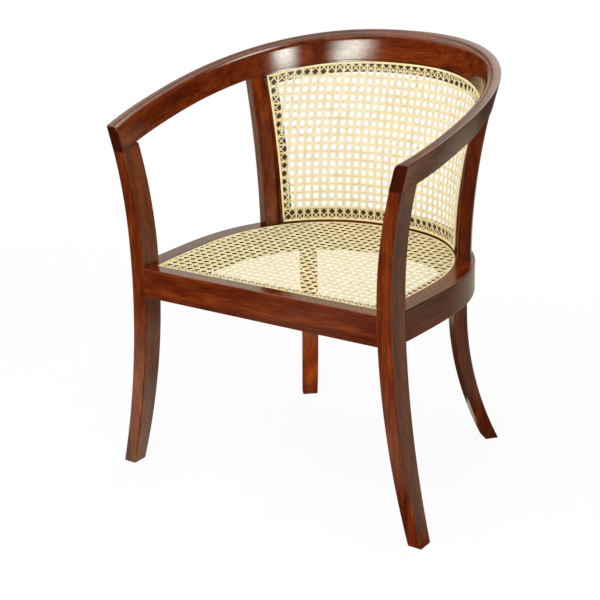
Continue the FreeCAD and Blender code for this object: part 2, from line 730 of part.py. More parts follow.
    for name, shape in {
        "front_leg": leg,
        "back_leg": rear_leg,
        "back_post": post,
        "arm": arm,
        "side_rail": side_rail,
        "panel_stile": stile,
        "crest_tenon": crest_tenon,
        "hoop_tenon": hoop_tenon,
        "corner_block": block,
        "block_screw_front": to_front,
        "block_screw_side": to_side,
    }.items():
        pieces[name + "_right"] = shape
        pieces[name + "_left"] = mirrored(shape)
    pieces["crest_rail"] = crest
    pieces["front_rail"] = front_rail
    pieces["back_rail"] = back_rail
    pieces["panel_top"] = panel_top
    pieces["panel_bottom"] = panel_bottom
    pieces["seat_cane"] = seat_cane
    pieces["seat_spline"] = seat_spline
    pieces["back_cane"] = back_cane
    pieces["back_spline"] = back_spline
    return pieces


def main():
    os.makedirs("parts", exist_ok=True)
    for name, shape in sorted(build().items()):
        if len(shape.Solids) == 1:
            shape = shape.Solids[0]
        shape.exportStep("parts/" + name + ".step")
        box = shape.BoundBox
        print(name, "solids", len(shape.Solids), "valid", shape.isValid(), "volume", round(shape.Volume),
              "x %.1f..%.1f y %.1f..%.1f z %.1f..%.1f" % (box.XMin, box.XMax, box.YMin, box.YMax,
                                                          box.ZMin, box.ZMax))


main()
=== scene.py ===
"""Looks of the cane tub armchair: finished meshes, materials and a stage around its solids.

The chair's named sizes below are in millimetres and follow the plan of the solids: it faces -Y, stands on
z = 0 and is symmetric about the plane x = 0. Blender works in metres, and so do the settings and the stage.
"""
import random
from bisect import bisect_right
from itertools import accumulate
from math import atan, ceil, cos, pi, radians, sin

import bmesh
import bpy
from bpy.props import FloatProperty, FloatVectorProperty, IntProperty, PointerProperty
from mathutils import Matrix, Vector


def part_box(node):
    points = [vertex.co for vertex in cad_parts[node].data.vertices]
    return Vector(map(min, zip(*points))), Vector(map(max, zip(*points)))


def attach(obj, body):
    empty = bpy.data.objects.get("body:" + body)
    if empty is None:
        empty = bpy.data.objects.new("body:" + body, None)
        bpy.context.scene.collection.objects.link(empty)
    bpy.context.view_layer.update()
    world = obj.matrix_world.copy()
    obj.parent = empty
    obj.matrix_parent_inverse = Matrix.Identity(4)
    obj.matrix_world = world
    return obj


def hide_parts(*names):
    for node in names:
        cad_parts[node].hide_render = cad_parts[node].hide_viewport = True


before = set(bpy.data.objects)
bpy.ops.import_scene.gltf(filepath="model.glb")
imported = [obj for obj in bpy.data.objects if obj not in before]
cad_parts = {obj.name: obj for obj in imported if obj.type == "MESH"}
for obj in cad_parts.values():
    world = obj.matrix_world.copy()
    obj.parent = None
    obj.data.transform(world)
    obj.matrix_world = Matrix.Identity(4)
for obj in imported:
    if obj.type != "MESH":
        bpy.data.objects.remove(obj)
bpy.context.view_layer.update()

bl_info = {
    "name": "Cane tub armchair",
    "version": (1, 0, 0),
    "blender": (4, 5, 0),
    "location": "View3D > Sidebar > Armchair",
    "description": "Builds the finished pieces of a cane tub armchair around its solids",
    "category": "Object",
}

MM = 0.001
LOW = 0
HIGH = 1
X_AXIS = 0
Y_AXIS = 1
Z_AXIS = 2


def solid_edge(node, end, axis):
    """One coordinate of a solid's box, in millimetres."""
    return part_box(node)[end][axis] / MM


# Plan curves of the seat hoop and of the top rail: half widths, back ends, runs from the front to the
# widest place, and powers of the curves
SEAT_HALF_W = solid_edge("side_rail_right", HIGH, X_AXIS)
SEAT_BACK_Y = solid_edge("back_rail", HIGH, Y_AXIS)
SEAT_TOP = solid_edge("front_rail", HIGH, Z_AXIS)
SEAT_BOTTOM = solid_edge("front_rail", LOW, Z_AXIS)
SEAT_WIDE_RUN = 186.0
SEAT_POWER = 2.2
FRONT_Y = solid_edge("front_leg_right", LOW, Y_AXIS)
TOP_HALF_W = solid_edge("arm_right", HIGH, X_AXIS)
TOP_BACK_Y = solid_edge("crest_rail", HIGH, Y_AXIS)
TOP_WIDE_RUN = 148.0
TOP_POWER = 2.33
TOP_SLOPE = 0.2181
# Angle up to which a plan curve is searched at the front
FRONT_LIMIT = -89.0

# Top rail section
RAIL_T = 26.0
RAIL_H = 49.0
RAIL_LEAN = 13.0
RAIL_ROUND = 12.0
RAIL_ROUND_STEPS = 7
TOP_JOINT_ANGLE = 24.0
TOP_FRONT_Z = solid_edge("arm_right", LOW, Z_AXIS) + RAIL_H
RAIL_INSIDE = RAIL_T + RAIL_LEAN

# Seat rails: groove for the cord, and the land that carries the cane
RAIL_FACE_Y = solid_edge("front_rail", LOW, Y_AXIS)
HOOP_JOINT_ANGLE = 43.0
GROOVE_INSET = 38.0
GROOVE_FRONT = 28.5
GROOVE_W = 4.5
GROOVE_D = 6.0
LAND_DROP = 1.5
LAND_W = 9.5
HOOP_W = GROOVE_INSET + GROOVE_W + LAND_W

# Front legs
LEG_DEPTH = 49.0
LEG_FOOT_DEPTH = 33.0
LEG_TAPER_DROP = 21.0
LEG_TAPER_POWER = 1.6
LEG_SET_IN = 4.2
LEG_SEAT_W = 30.8
LEG_FOOT_W = 29.0
LEG_TOP_W = 24.5
LEG_FOOT_OUT = solid_edge("front_leg_right", HIGH, X_AXIS)
FOOT_POWER = 1.95
LEG_OUT_POWER = 2.3
LEG_IN_POWER = 2.1

# Back legs and posts
BACK_LEG_ANGLE = 52.0
BACK_LEG_SETBACK = 1.5
BACK_LEG_T = 28.0
BACK_LEG_W = 37.0
BACK_FOOT_W = 33.0
BACK_SWEEP = 72.0
BACK_LEG_STRAIGHT = 73.0
POST_ANGLE = 35.2
POST_EDGE = 7.0
POST_T = 26.0
POST_W = 33.0

# Back panel frame and its groove
PANEL_FRONT = 36.0
PANEL_T = 14.0
PANEL_SILL = 29.0
PANEL_HEAD = 24.0
PANEL_STILE = 24.0
PANEL_LIP = 4.0
PANEL_GROOVE_D = 5.0
BACK_CANE_T = 1.2

# Derived places
SEAT_WIDE_Y = FRONT_Y + SEAT_WIDE_RUN
TOP_WIDE_Y = FRONT_Y + TOP_WIDE_RUN
LEG_BACK_Y = FRONT_Y + LEG_DEPTH
LEG_OUT_SEAT = SEAT_HALF_W - LEG_SET_IN
LEG_IN_SEAT = LEG_OUT_SEAT - LEG_SEAT_W
PANEL_BACK = PANEL_FRONT - PANEL_T
CANE_FRONT_Y = RAIL_FACE_Y + GROOVE_FRONT
GROOVE_FLOOR = SEAT_TOP - GROOVE_D
LAND_TOP = SEAT_TOP - LAND_DROP
# Stands for how far any place of the left half lies behind the right post
FAR_BEHIND = 1000.0

# Cane: middle of the cord from its groove's outer edge, how deep the seat's sheet and its cord lie, inset
# of the back's sheet, and the first row of holes inside the cord
CORD_MID = 0.5 * GROOVE_W
SEAT_CANE_DROP = 0.6
SEAT_CORD_SINK = 1.8
BACK_CANE_INSET = PANEL_FRONT + 0.75 * BACK_CANE_T
FIRST_HOLE = 16.25
# How far the back's middle hole lies to the right, and the width beside a groove where pairs are left out
BACK_HOLE_SHIFT = 5.6
BARE_BORDER = 11.0
# Step along a strand and its least length, in shares of the mesh, its fewest stations, and the share of
# its width on top
STRAND_STEP = 0.25
SHORTEST_STRAND = 0.5
FEWEST_STATIONS = 3
STRAND_CROWN = 0.6

# Rings along each piece
ARM_RINGS = 25
CREST_RINGS = 57
FRONT_LEG_RINGS = 41
BACK_LEG_RINGS = 25
POST_RINGS = 19
SIDE_RAIL_RINGS = 25
BACK_RAIL_RINGS = 41
PANEL_RAIL_RINGS = 41
STILE_RINGS = 15
# Rows of the unrolled back: their distance, their points and their last angle
ROW_STEP = 6.0
ROW_POINTS = 71
ROW_END_ANGLE = 0.7 * POST_ANGLE
# Points of the cane's outlines: a side, the top or bottom of the back, and the seat's hoop
SIDE_POINTS = 25
LEVEL_POINTS = 41
HOOP_POINTS = 81
# Halvings of a search, and turns until a point of the curved back settles at a height or under the rail
HALVINGS = 40
SETTLING = 8
RAIL_SETTLING = 12

# Bevel weights: a full arris, a slight one, a fine one, and a joint that is only just broken
FULL = 1.0
SLIGHT = 0.55
FINE = 0.3
JOINT = 0.1
SHARP_ENDS = (0.0, 0.0)
SQUARE_BAR = {corner: FULL for corner in range(4)}
ARRIS_SEGMENTS = 3
# An edge without a weight is shaded as a sharp one from this turn on
SHARP_TURN = radians(35.0)
# Shares of painted shade on the faces that the cane covers (also unpolished), of stain on end grain, and of
# painted shade on the left seat rail's top
SHADE_UNDER_CANE = 1.0
END_GRAIN = 0.7
PAINTED_SHADE_LEFT_TOP = 0.4
# Arrises of a seat rail's and a panel member's section, by corner, and their faces under the cane, which take
# painted shade
SEAT_ARRISES = {0: SLIGHT, 1: FULL, 2: JOINT, 5: JOINT, 6: FINE, 7: FINE}
SEAT_COVERED = {5: SHADE_UNDER_CANE, 6: SHADE_UNDER_CANE}
PANEL_ARRISES = {5: FINE, 6: SLIGHT}
PANEL_COVERED = {4: SHADE_UNDER_CANE, 5: SHADE_UNDER_CANE}

# Index of refraction of the polish, on most pieces and on the seat's side and back rails, which are duller
POLISHED = 1.5
RUBBED = 1.33
# Kinds of polished wood: axis of the grain, tilt of the board and polish
WOODS = {
    "upright": (Z_AXIS, 0.0, POLISHED),
    "across": (X_AXIS, 0.0, POLISHED),
    "back_rail": (X_AXIS, 0.0, RUBBED),
    "side": (Y_AXIS, 0.0, RUBBED),
    "arm": (Y_AXIS, -atan(TOP_SLOPE), POLISHED),
}
# Layers of the wood's figure: counts per metre along and across the grain, detail and distortion
BANDS = (1.6, 34.0, 3.0, 0.6)
MOTTLE = (14.0, 55.0, 3.0, 0.5)
FIBRE = (22.0, 430.0, 2.0, 0.2)
PORES = (60.0, 1100.0, 1.0, 0.0)
# Places of the dark, middle and light colour on the tone, noise from which a pore shows, and depth of grain
TONE_PLACES = (0.35, 0.50, 0.65)
PORE_NOISE = (0.60, 0.72)
WOOD_RELIEF = 0.0003
# Shares of three layers in the wood's tone, how far stain and painted shade lower it, how dark pores are, and
# how far faces under the cane take the colour of painted shade
BANDS_SHARE = 0.38
MOTTLE_SHARE = 0.28
FIBRE_SHARE = 0.34
STAIN_AND_SHADE_LOSS = 0.3
PORE_SHADE = 0.55
COVERED_SHADE = 0.85
# What fibres, pores and covered faces do to the roughness of the polish
FIBRE_ROUGHNESS = 0.12
PORE_ROUGHNESS = 0.1
COVERED_ROUGHNESS = 0.2
NOISE_MEAN = 0.5
# Relief of the grain: rise of the fibres, sink of the pores, and strength on polished and on bare wood
FIBRE_RISE = 0.4
PORE_SINK = 0.6
POLISHED_BUMP = 0.06
BARE_BUMP = 0.3
# Unfinished wood: counts per metre along the three axes, detail, how dark its fibres are, and its roughness
BARE_FIBRES = (20.0, 400.0, 400.0)
BARE_DETAIL = 3.0
BARE_SHADE = 0.6
BARE_ROUGHNESS = 0.55
BARE_FIBRE_ROUGHNESS = 0.2
# Cane: counts per metre and detail of its noises, from where they show, its depth of grain and its polish
STRAND_GRAIN = (900.0, 1.0)
STRAND_PATCHES = (70.0, 2.0)
STRAND_FLECKS = (300.0, 1.0)
STRAND_PATCH_NOISE = (0.45, 0.7)
STRAND_FLECK_NOISE = (0.62, 0.70)
CORD_GRAIN = (1200.0, 1.0)
CORD_PATCHES = (60.0, 3.0)
CORD_PATCH_NOISE = (0.3, 0.7)
CORD_FLECK_NOISE = (0.6, 0.8)
CANE_RELIEF = 0.0002
CANE_BUMP = 0.2
CANE_POLISH = 1.45
# Shares of a strand's own tone, of patches and of grain in its way from pale to straw, and where it starts
TONE_SHARE = 0.6
PATCH_SHARE = 0.6
GRAIN_SHARE = 0.2
STRAW_START = 0.2
# How dark the flecks are, and how rough the cane is
STRAND_FLECK_SHADE = 0.7
CORD_FLECK_SHADE = 0.3
STRAND_ROUGHNESS = 0.38
CORD_ROUGHNESS = 0.36
GRAIN_ROUGHNESS = 0.2
# Steel: counts per metre and detail of its turning marks, its darkest and lightest grey, and its roughness
TURNING_MARKS = (900.0, 2.0)
STEEL_DARK = 0.42
STEEL_LIGHT = 0.62
STEEL_ROUGHNESS = 0.25
MARK_ROUGHNESS = 0.2

# Camera, in metres and degrees
CAMERA_PLACE = (1.5029, -2.2222, 1.2731)
CAMERA_AZIMUTH = 35.707
CAMERA_ELEVATION = 19.367
CAMERA_ROLL = -1.943
CAMERA_LENS = 85.19
CAMERA_SENSOR = 36.0

# Lamps by name: place, width and height, in metres. The mirrored ones face the crest and show in the polish
# alone. The soft ones face the seat and don't show in the polish. The leg lamp is a narrow one.
CREST_MIDDLE = (0.0, 0.24, 0.78)
SEAT_MIDDLE = (0.0, 0.0, 0.3)
MIRRORED_LAMPS = {
    "side": ((1.44, -1.02, 1.50), 0.95, 0.22),
    "front": ((-0.18, -1.78, 1.43), 1.55, 0.22),
    "top": ((0.65, 0.05, 2.6), 1.3, 1.3),
    "near": ((1.3, -2.2, 0.85), 0.6, 0.6),
}
SOFT_LAMPS = {
    "high": ((0.4, -1.4, 2.6), 1.5, 1.5),
    "low": ((0.3, -2.1, 0.34), 1.2, 0.5),
    "back": ((-0.6, 2.4, 1.3), 1.6, 1.0),
}
LEG_LAMP_PLACE = (0.35, -2.3, 0.22)
LEG_LAMP_TARGET = (-0.22, 0.22, 0.13)
LEG_LAMP_SIZE = 0.1
LEG_LAMP_SPREAD = 10.0
# Colour of the mirrored lamps, and their limits from edge to edge
LAMP_TINT = (0.9, 1.0, 0.9)
LAMP_LIMITS = (0.0, 0.45, 0.55, 1.0)

# The floor, in metres. Two limits fade from none to full, and four fade in and out again. A patch has a
# strength, limits across and limits in depth.
FLOOR_HALF = 12.0
FLOOR_SHADING = (2.4, 0.9)
# Whiteness of the floor as the camera sees it and as it lights the chair, and its colour in the polish
FLOOR_SEEN = 0.9
FLOOR_LIGHTING = 0.5
FLOOR_TINT = (1.0, 0.97, 0.72, 1.0)
# Open floor in the polish, a painted image: its level, painted light added on the near side and at the front
# left, where it is lit, and where and how much it dims far behind
OPEN_LEVEL = 0.27
NEARER_LEVEL = 0.28
NEARER_X = (0.95, 0.7)
FRONT_LEFT = (0.45, (-0.3, -0.42), (-0.25, -0.4))
LIT_Y = (-1.05, -0.6)
DISTANT_Y = (1.45, 2.2)
DISTANT_LOSS = 0.9
# The floor under the seat, which the polish mirrors with a painted shadow of the chair, but for a slanted
# strip of painted light that dims at a crossing and at its end
UNDER_X = (0.5, 0.35)
UNDER_Y = (-0.52, -0.42, 0.37, 0.45)
STRIP_SLANT = 1.1
STRIP_LIMITS = (0.02, 0.07, 0.15, 0.19)
STRIP_LEVEL = 0.9
CROSSED_X = (-0.14, -0.1, -0.01, 0.03)
CROSSED_LOSS = 0.3
STRIP_END_X = (0.05, 0.22)
STRIP_END_LOSS = 0.55
# Painted bright patches of light in the polish at the left, at the right, nearer at the right, and before the
# front rail
FLOOR_PATCHES = (
    (0.45, (-0.9, -1.4), (0.2, 0.5)),
    (0.5, (0.9, 1.05), (-0.3, 0.0, 0.9, 1.3)),
    (0.7, (0.9, 1.05), (-0.3, 0.0, 0.3, 0.75)),
    (0.35, (-0.8, -0.5, -0.42, -0.28), (-1.4, -1.2, -1.05, -0.6)),
)
# The polish mirrors floor and sky at this level at least
LEAST_GLEAM = 0.03

# The sky, by the parts of its direction: soft light, and in the polish a backdrop with a dark and a bright
# corner, a ceiling and a glow at the left, all of which end at the right. Patches have limits across and in
# height, but the bright corner has them in height and along a slant.
SOFT_LOW = 0.36
SOFT_RISE = 1.6
SOFT_Z = (0.1, 0.9)
SKY_TINT = (1.0, 1.0, 0.85, 1.0)
BACKDROP_Y = (0.5, 0.68)
DARK_CORNER = (0.6, (-0.5, -0.512), (0.4, 0.46))
BRIGHT_CORNER = (1.5, (0.42, 0.52), (1.5, 1.4))
BRIGHT_SLANT = 2.0
CEILING_LEVEL = 1.6
CEILING_Z = (0.6, 0.74)
LEFT_GLOW = (1.2, (-0.6, -0.68), (0.4, 0.48))
SKY_END_X = (0.2, 0.0)

# What settings of one kind share
COLOUR = {"subtype": "COLOR", "size": 3, "min": 0.0, "max": 1.0}
LENGTH = {"unit": "LENGTH", "min": 0.0}
POWER = {"unit": "POWER", "min": 0.0}
SHARE = {"subtype": "FACTOR", "min": 0.0, "max": 1.0}


class ChairWood(bpy.types.PropertyGroup):
    """Colours and gloss of the polished wood, and the size of its rounded arrises."""
    dark: FloatVectorProperty(name="Dark grain", description="Colour of the darkest grain",
                              default=(0.042, 0.0045, 0.0011), **COLOUR)
    middle: FloatVectorProperty(name="Middle grain", description="Colour of most of the wood",
                                default=(0.116, 0.0155, 0.0019), **COLOUR)
    light: FloatVectorProperty(name="Light grain", description="Colour of the lightest grain",
                               default=(0.235, 0.043, 0.0054), **COLOUR)
    # Painted shade: this darker colour on the faces under the cane stands in for the shade that the cane
    # casts
    under_cane_shade: FloatVectorProperty(name="Stained wood", default=(0.05, 0.022, 0.004), **COLOUR,
                                 description="Colour of the unpolished faces under the cane")
    bare: FloatVectorProperty(name="Bare wood", description="Colour of unfinished wood",
                              default=(0.40, 0.25, 0.13), **COLOUR)
    gloss: FloatProperty(name="Roughness", description="Roughness of the polish", default=0.14, **SHARE)
    arris: FloatProperty(name="Arris", description="Rounding of the wood's edges", default=0.0022, **LENGTH)


class ChairCane(bpy.types.PropertyGroup):
    """Sizes and colours of the woven cane and of the cord that holds it."""
    pitch: FloatProperty(name="Mesh", description="Distance from one hole to the next", unit="LENGTH",
                         min=0.005, default=0.017)
    pair_gap: FloatProperty(name="Pair spacing", description="Distance between the two strands of a pair",
                            default=0.0018, **LENGTH)
    strand_width: FloatProperty(name="Strand width", description="Width of a diagonal strand", unit="LENGTH",
                                min=0.0005, default=0.0023)
    strand_depth: FloatProperty(name="Strand thickness", description="Thickness of a strand", unit="LENGTH",
                                min=0.0002, default=0.0007)
    pair_share: FloatProperty(name="Pair width", description="Width of a pair's strand against a diagonal's",
                              subtype="FACTOR", min=0.1, max=1.0, default=0.8)
    pair_wave: FloatProperty(name="Pair wave", description="How far a pair rises and falls in the weave",
                             default=0.00035, **LENGTH)
    diagonal_wave: FloatProperty(name="Diagonal wave", description="How far a diagonal rises and falls",
                                 default=0.0006, **LENGTH)
    cord_radius: FloatProperty(name="Cord radius", description="Radius of the cord in the groove",
                               unit="LENGTH", min=0.0005, default=0.0023)
    cord_sides: IntProperty(name="Cord sides", description="Sides of the cord's section", min=6, default=12)
    seed: IntProperty(name="Seed", description="Seed of the strands' tones", default=4)
    pale: FloatVectorProperty(name="Pale cane", description="Colour of most strands",
                              default=(0.95, 0.86, 0.55), **COLOUR)
    straw: FloatVectorProperty(name="Straw cane", description="Colour of the darker strands",
                               default=(0.90, 0.70, 0.30), **COLOUR)
    fleck: FloatVectorProperty(name="Flecks", description="Colour of the cane's dark flecks",
                               default=(0.45, 0.31, 0.13), **COLOUR)
    cord: FloatVectorProperty(name="Cord", description="Colour of the cord", default=(0.93, 0.76, 0.36),
                              **COLOUR)


class ChairStage(bpy.types.PropertyGroup):
    """Light and floor of the picture."""
    side_lamp: FloatProperty(name="Side lamp", description="Power of the mirrored lamp at the right",
                             default=29.0, **POWER)
    front_lamp: FloatProperty(name="Front lamp", description="Power of the mirrored lamp at the front left",
                              default=38.0, **POWER)
    top_lamp: FloatProperty(name="Top lamp", description="Power of the mirrored lamp overhead", default=84.0,
                            **POWER)
    near_lamp: FloatProperty(name="Near lamp", description="Power of the small mirrored lamp near the camera",
                             default=12.0, **POWER)
    high_lamp: FloatProperty(name="High lamp", description="Power of the soft lamp above the front",
                             default=35.0, **POWER)
    leg_lamp: FloatProperty(name="Leg lamp", description="Power of the narrow lamp under the seat",
                            default=0.48, **POWER)
    back_lamp: FloatProperty(name="Back lamp", description="Power of the soft lamp behind", default=16.0,
                             **POWER)
    low_lamp: FloatProperty(name="Low lamp", description="Power of the low lamp at the front", default=17.5,
                            **POWER)
    sky: FloatProperty(name="Sky", description="Strength of the light from all round", min=0.0, default=0.46)
    shadow: FloatProperty(name="Shadow", description="How much of the floor's shading shows", default=0.1,
                          **SHARE)


class Wire:
    """A node's output that takes part in Python sums, each of which adds a Math node."""

    def __init__(self, graph, socket):
        self.graph = graph
        self.socket = socket

    def other(self, name):
        """Another output of the same node."""
        return Wire(self.graph, self.socket.node.outputs[name])

    def __add__(self, value):
        return self.graph.maths("ADD", self, value)

    def __radd__(self, value):
        return self.graph.maths("ADD", value, self)

    def __sub__(self, value):
        return self.graph.maths("SUBTRACT", self, value)

    def __rsub__(self, value):
        return self.graph.maths("SUBTRACT", value, self)

    def __mul__(self, value):
        return self.graph.maths("MULTIPLY", self, value)

    def __rmul__(self, value):
        return self.graph.maths("MULTIPLY", value, self)


class Graph:
    """Adds nodes to one tree."""

    def __init__(self, tree):
        self.tree = tree

    def node(self, kind, settings=None, inputs=None, output=0):
        """Adds a node: its settings first, then the values or links of its sockets."""
        node = self.tree.nodes.new(kind)
        for name, value in (settings or {}).items():
            if name == "stops":
                self.fill_ramp(node.color_ramp, value)
            else:
                setattr(node, name, value)
        self.feed(node, inputs or {})
        return Wire(self, node.outputs[output])

    def feed(self, node, inputs):
        for key, value in inputs.items():
            if isinstance(value, Wire):
                self.tree.links.new(value.socket, node.inputs[key])
            else:
                node.inputs[key].default_value = value

    def node_out(self, geometry):
        """Links a geometry to the output of a geometry tree."""
        self.feed(self.tree.nodes.new("NodeGroupOutput"), {0: geometry})

    def fill_ramp(self, ramp, stops):
        while len(ramp.elements) < len(stops):
            ramp.elements.new(0.5)
        for element, (place, colour) in zip(ramp.elements, stops):
            element.position = place
            element.color = (*colour, 1.0)

    def maths(self, operation, *values):
        return self.node("ShaderNodeMath", {"operation": operation}, dict(enumerate(values)))

    def mix(self, factor, first, second):
        """Mix of two colours, whose sockets come after those for numbers and vectors."""
        return self.node("ShaderNodeMix", {"data_type": "RGBA"}, {0: factor, 6: first, 7: second}, 2)

    def fade(self, value, start, full, *ebb):
        """0 before start and 1 past full, smooth between. Two more limits fade it out again."""
        share = self.node("ShaderNodeMapRange", {"interpolation_type": "SMOOTHSTEP"},
                          {"Value": value, "From Min": start, "From Max": full})
        return share * self.fade(value, *reversed(ebb)) if ebb else share

    def patch(self, first, second, strength, first_limits, second_limits):
        """A soft patch between the limits of two values."""
        return self.fade(first, *first_limits) * self.fade(second, *second_limits) * strength

    def place(self):
        """Place on the piece, in metres."""
        return self.node("ShaderNodeTexCoord", output="Object")

    def parts(self, vector):
        """A vector's X, with its Y and Z as other outputs."""
        return self.node("ShaderNodeSeparateXYZ", inputs={"Vector": vector})

    def drawn_out(self, place, counts):
        """A place times its counts per metre along the three axes."""
        return self.node("ShaderNodeVectorMath", {"operation": "MULTIPLY"}, {0: place, 1: counts})

    def noise(self, place, scale, detail, distortion=0.0):
        return self.node("ShaderNodeTexNoise", inputs={
            "Vector": place, "Scale": scale, "Detail": detail, "Distortion": distortion})

    def bump(self, height, strength, distance):
        return self.node("ShaderNodeBump", inputs={
            "Height": height, "Strength": strength, "Distance": distance})

    def attribute(self, name):
        """A number that the mesh holds."""
        return self.node("ShaderNodeAttribute", {"attribute_name": name}, output="Fac")


def solid(colour):
    """A colour property as a node's four numbers."""
    return (*colour, 1.0)


def grey(level):
    return (level, level, level, 1.0)


def new_material(name):
    material = bpy.data.materials.new(name)
    material.use_nodes = True
    graph = Graph(material.node_tree)
    return material, graph, material.node_tree.nodes["Principled BSDF"]


def made_once(make):
    """Keeps the material that a maker gives, so that pieces of one finish share it."""
    kept = {}

    def get(*values):
        if values not in kept:
            kept[values] = make(*values)
        return kept[values]
    return get


@made_once
def polished_wood(kind):
    """Stained and polished hardwood with straight grain, of one of the kinds above."""
    axis, tilt, polish = WOODS[kind]
    wood = bpy.context.scene.chair_wood
    material, graph, shader = new_material("polished_wood_" + kind)
    board = graph.node("ShaderNodeMapping", inputs={"Vector": graph.place(), "Rotation": (tilt, 0.0, 0.0)})

    def figure(along, across, detail, distortion):
        """Noise drawn out along the grain."""
        counts = [across, across, across]
        counts[axis] = along
        return graph.noise(graph.drawn_out(board, counts), 1.0, detail, distortion)

    bands, mottle, fibre, pores = [figure(*layer) for layer in (BANDS, MOTTLE, FIBRE, PORES)]
    pore = graph.fade(pores, *PORE_NOISE)
    # The attribute darkens faces: real stain on end grain, and painted shade under the cane and on the left
    # seat rail's top
    stain = graph.attribute("stain")
    covered = graph.fade(stain, END_GRAIN, SHADE_UNDER_CANE)
    tone = bands * BANDS_SHARE + mottle * MOTTLE_SHARE + fibre * FIBRE_SHARE - stain * STAIN_AND_SHADE_LOSS
    stops = list(zip(TONE_PLACES, (wood.dark, wood.middle, wood.light)))
    colour = graph.node("ShaderNodeValToRGB", {"stops": stops}, {"Fac": tone})
    colour = graph.mix(pore * PORE_SHADE, colour, solid(wood.dark))
    # Faces under the cane take the colour of painted shade, and turn rougher as unpolished wood
    colour = graph.mix(covered * COVERED_SHADE, colour, solid(wood.under_cane_shade))
    roughness = (fibre - NOISE_MEAN) * FIBRE_ROUGHNESS + pore * PORE_ROUGHNESS
    roughness = roughness + covered * COVERED_ROUGHNESS + wood.gloss
    bump = graph.bump(fibre * FIBRE_RISE - pore * PORE_SINK, POLISHED_BUMP, WOOD_RELIEF)
    graph.feed(shader, {"Base Color": colour, "Roughness": roughness, "Normal": bump, "IOR": polish})
    return material


def finish_cane(graph, shader, colour, grain, roughness):
    """Satin surface of cane with its fine grain."""
    bump = graph.bump(grain, CANE_BUMP, CANE_RELIEF)
    graph.feed(shader, {"Base Color": colour, "Roughness": roughness + grain * GRAIN_ROUGHNESS,
                        "Normal": bump, "IOR": CANE_POLISH})


@made_once
def cane_finish():
    """Split cane: satin, with a tone for each strand, soft patches, fine grain and dark flecks."""
    cane = bpy.context.scene.chair_cane
    material, graph, shader = new_material("cane_strands")
    place = graph.place()
    grain = graph.noise(place, *STRAND_GRAIN)
    patches = graph.fade(graph.noise(place, *STRAND_PATCHES), *STRAND_PATCH_NOISE)
    flecks = graph.fade(graph.noise(place, *STRAND_FLECKS), *STRAND_FLECK_NOISE)
    blend = graph.attribute("tone") * TONE_SHARE + patches * PATCH_SHARE + grain * GRAIN_SHARE - STRAW_START
    colour = graph.mix(blend, solid(cane.pale), solid(cane.straw))
    colour = graph.mix(flecks * STRAND_FLECK_SHADE, colour, solid(cane.fleck))
    finish_cane(graph, shader, colour, grain, STRAND_ROUGHNESS)
    return material


@made_once
def cord_finish():
    """Round cane cord: straw coloured, with short pale stretches and fine flecks."""
    cane = bpy.context.scene.chair_cane
    material, graph, shader = new_material("cane_cord_finish")
    place = graph.place()
    grain = graph.noise(place, *CORD_GRAIN)
    patches = graph.fade(graph.noise(place, *CORD_PATCHES), *CORD_PATCH_NOISE)
    flecks = graph.fade(grain, *CORD_FLECK_NOISE)
    colour = graph.mix(patches, solid(cane.cord), solid(cane.pale))
    colour = graph.mix(flecks * CORD_FLECK_SHADE, colour, solid(cane.fleck))
    finish_cane(graph, shader, colour, grain, CORD_ROUGHNESS)
    return material


@made_once
def bare_wood():
    """Unfinished wood of the hidden joinery."""
    wood = bpy.context.scene.chair_wood
    material, graph, shader = new_material("bare_joinery_wood")
    fibre = graph.noise(graph.drawn_out(graph.place(), BARE_FIBRES), 1.0, BARE_DETAIL)
    shade = [BARE_SHADE * part for part in wood.bare]
    colour = graph.mix(fibre, solid(shade), solid(wood.bare))
    roughness = fibre * BARE_FIBRE_ROUGHNESS + BARE_ROUGHNESS
    bump = graph.bump(fibre, BARE_BUMP, WOOD_RELIEF)
    graph.feed(shader, {"Base Color": colour, "Roughness": roughness, "Normal": bump})
    return material


@made_once
def screw_steel():
    """Plain turned steel of the block screws."""
    material, graph, shader = new_material("plain_screw_steel")
    marks = graph.noise(graph.place(), *TURNING_MARKS)
    colour = graph.mix(marks, grey(STEEL_DARK), grey(STEEL_LIGHT))
    roughness = marks * MARK_ROUGHNESS + STEEL_ROUGHNESS
    graph.feed(shader, {"Base Color": colour, "Metallic": 1.0, "Roughness": roughness})
    return material


def spread(first, last, count):
    """Evenly spaced numbers from the first to the last."""
    return [first + (last - first) * i / (count - 1) for i in range(count)]


def superellipse(half_w, wide_y, reach, power, angle):
    """Point and outward normal of the right half of a superellipse, in plan."""
    c = abs(cos(angle))
    s = abs(sin(angle))
    side = 1.0 if sin(angle) >= 0.0 else -1.0
    x = half_w * c ** (2.0 / power)
    y = wide_y + side * reach * s ** (2.0 / power)
    fall = 2.0 - 2.0 / power
    normal = Vector((c ** fall / half_w, side * s ** fall / reach, 0.0))
    return Vector((x, y, 0.0)), normal.normalized()


def seat_front_reach():
    """How far the front half of the seat plan would run, so that it meets the front leg."""
    run = SEAT_WIDE_Y - LEG_BACK_Y
    share = (1.0 - (LEG_OUT_SEAT / SEAT_HALF_W) ** SEAT_POWER) ** (1.0 / SEAT_POWER)
    return run / share


def hoop_point(kind, degree, inset):
    """A point of the seat plan or of the top rail plan, moved inward by inset, and its normal.

    The angle runs from the right front over 90 at the back to the left front.
    """
    left = degree > 90.0
    angle = radians(180.0 - degree if left else degree)
    if kind == "seat":
        reach = SEAT_BACK_Y - SEAT_WIDE_Y if angle >= 0.0 else seat_front_reach()
        point, normal = superellipse(SEAT_HALF_W, SEAT_WIDE_Y, reach, SEAT_POWER, angle)
    else:
        reach = TOP_BACK_Y - TOP_WIDE_Y
        point, normal = superellipse(TOP_HALF_W, TOP_WIDE_Y, reach, TOP_POWER, angle)
    point = point - normal * inset
    if left:
        point.x = -point.x
        normal.x = -normal.x
    return point, normal


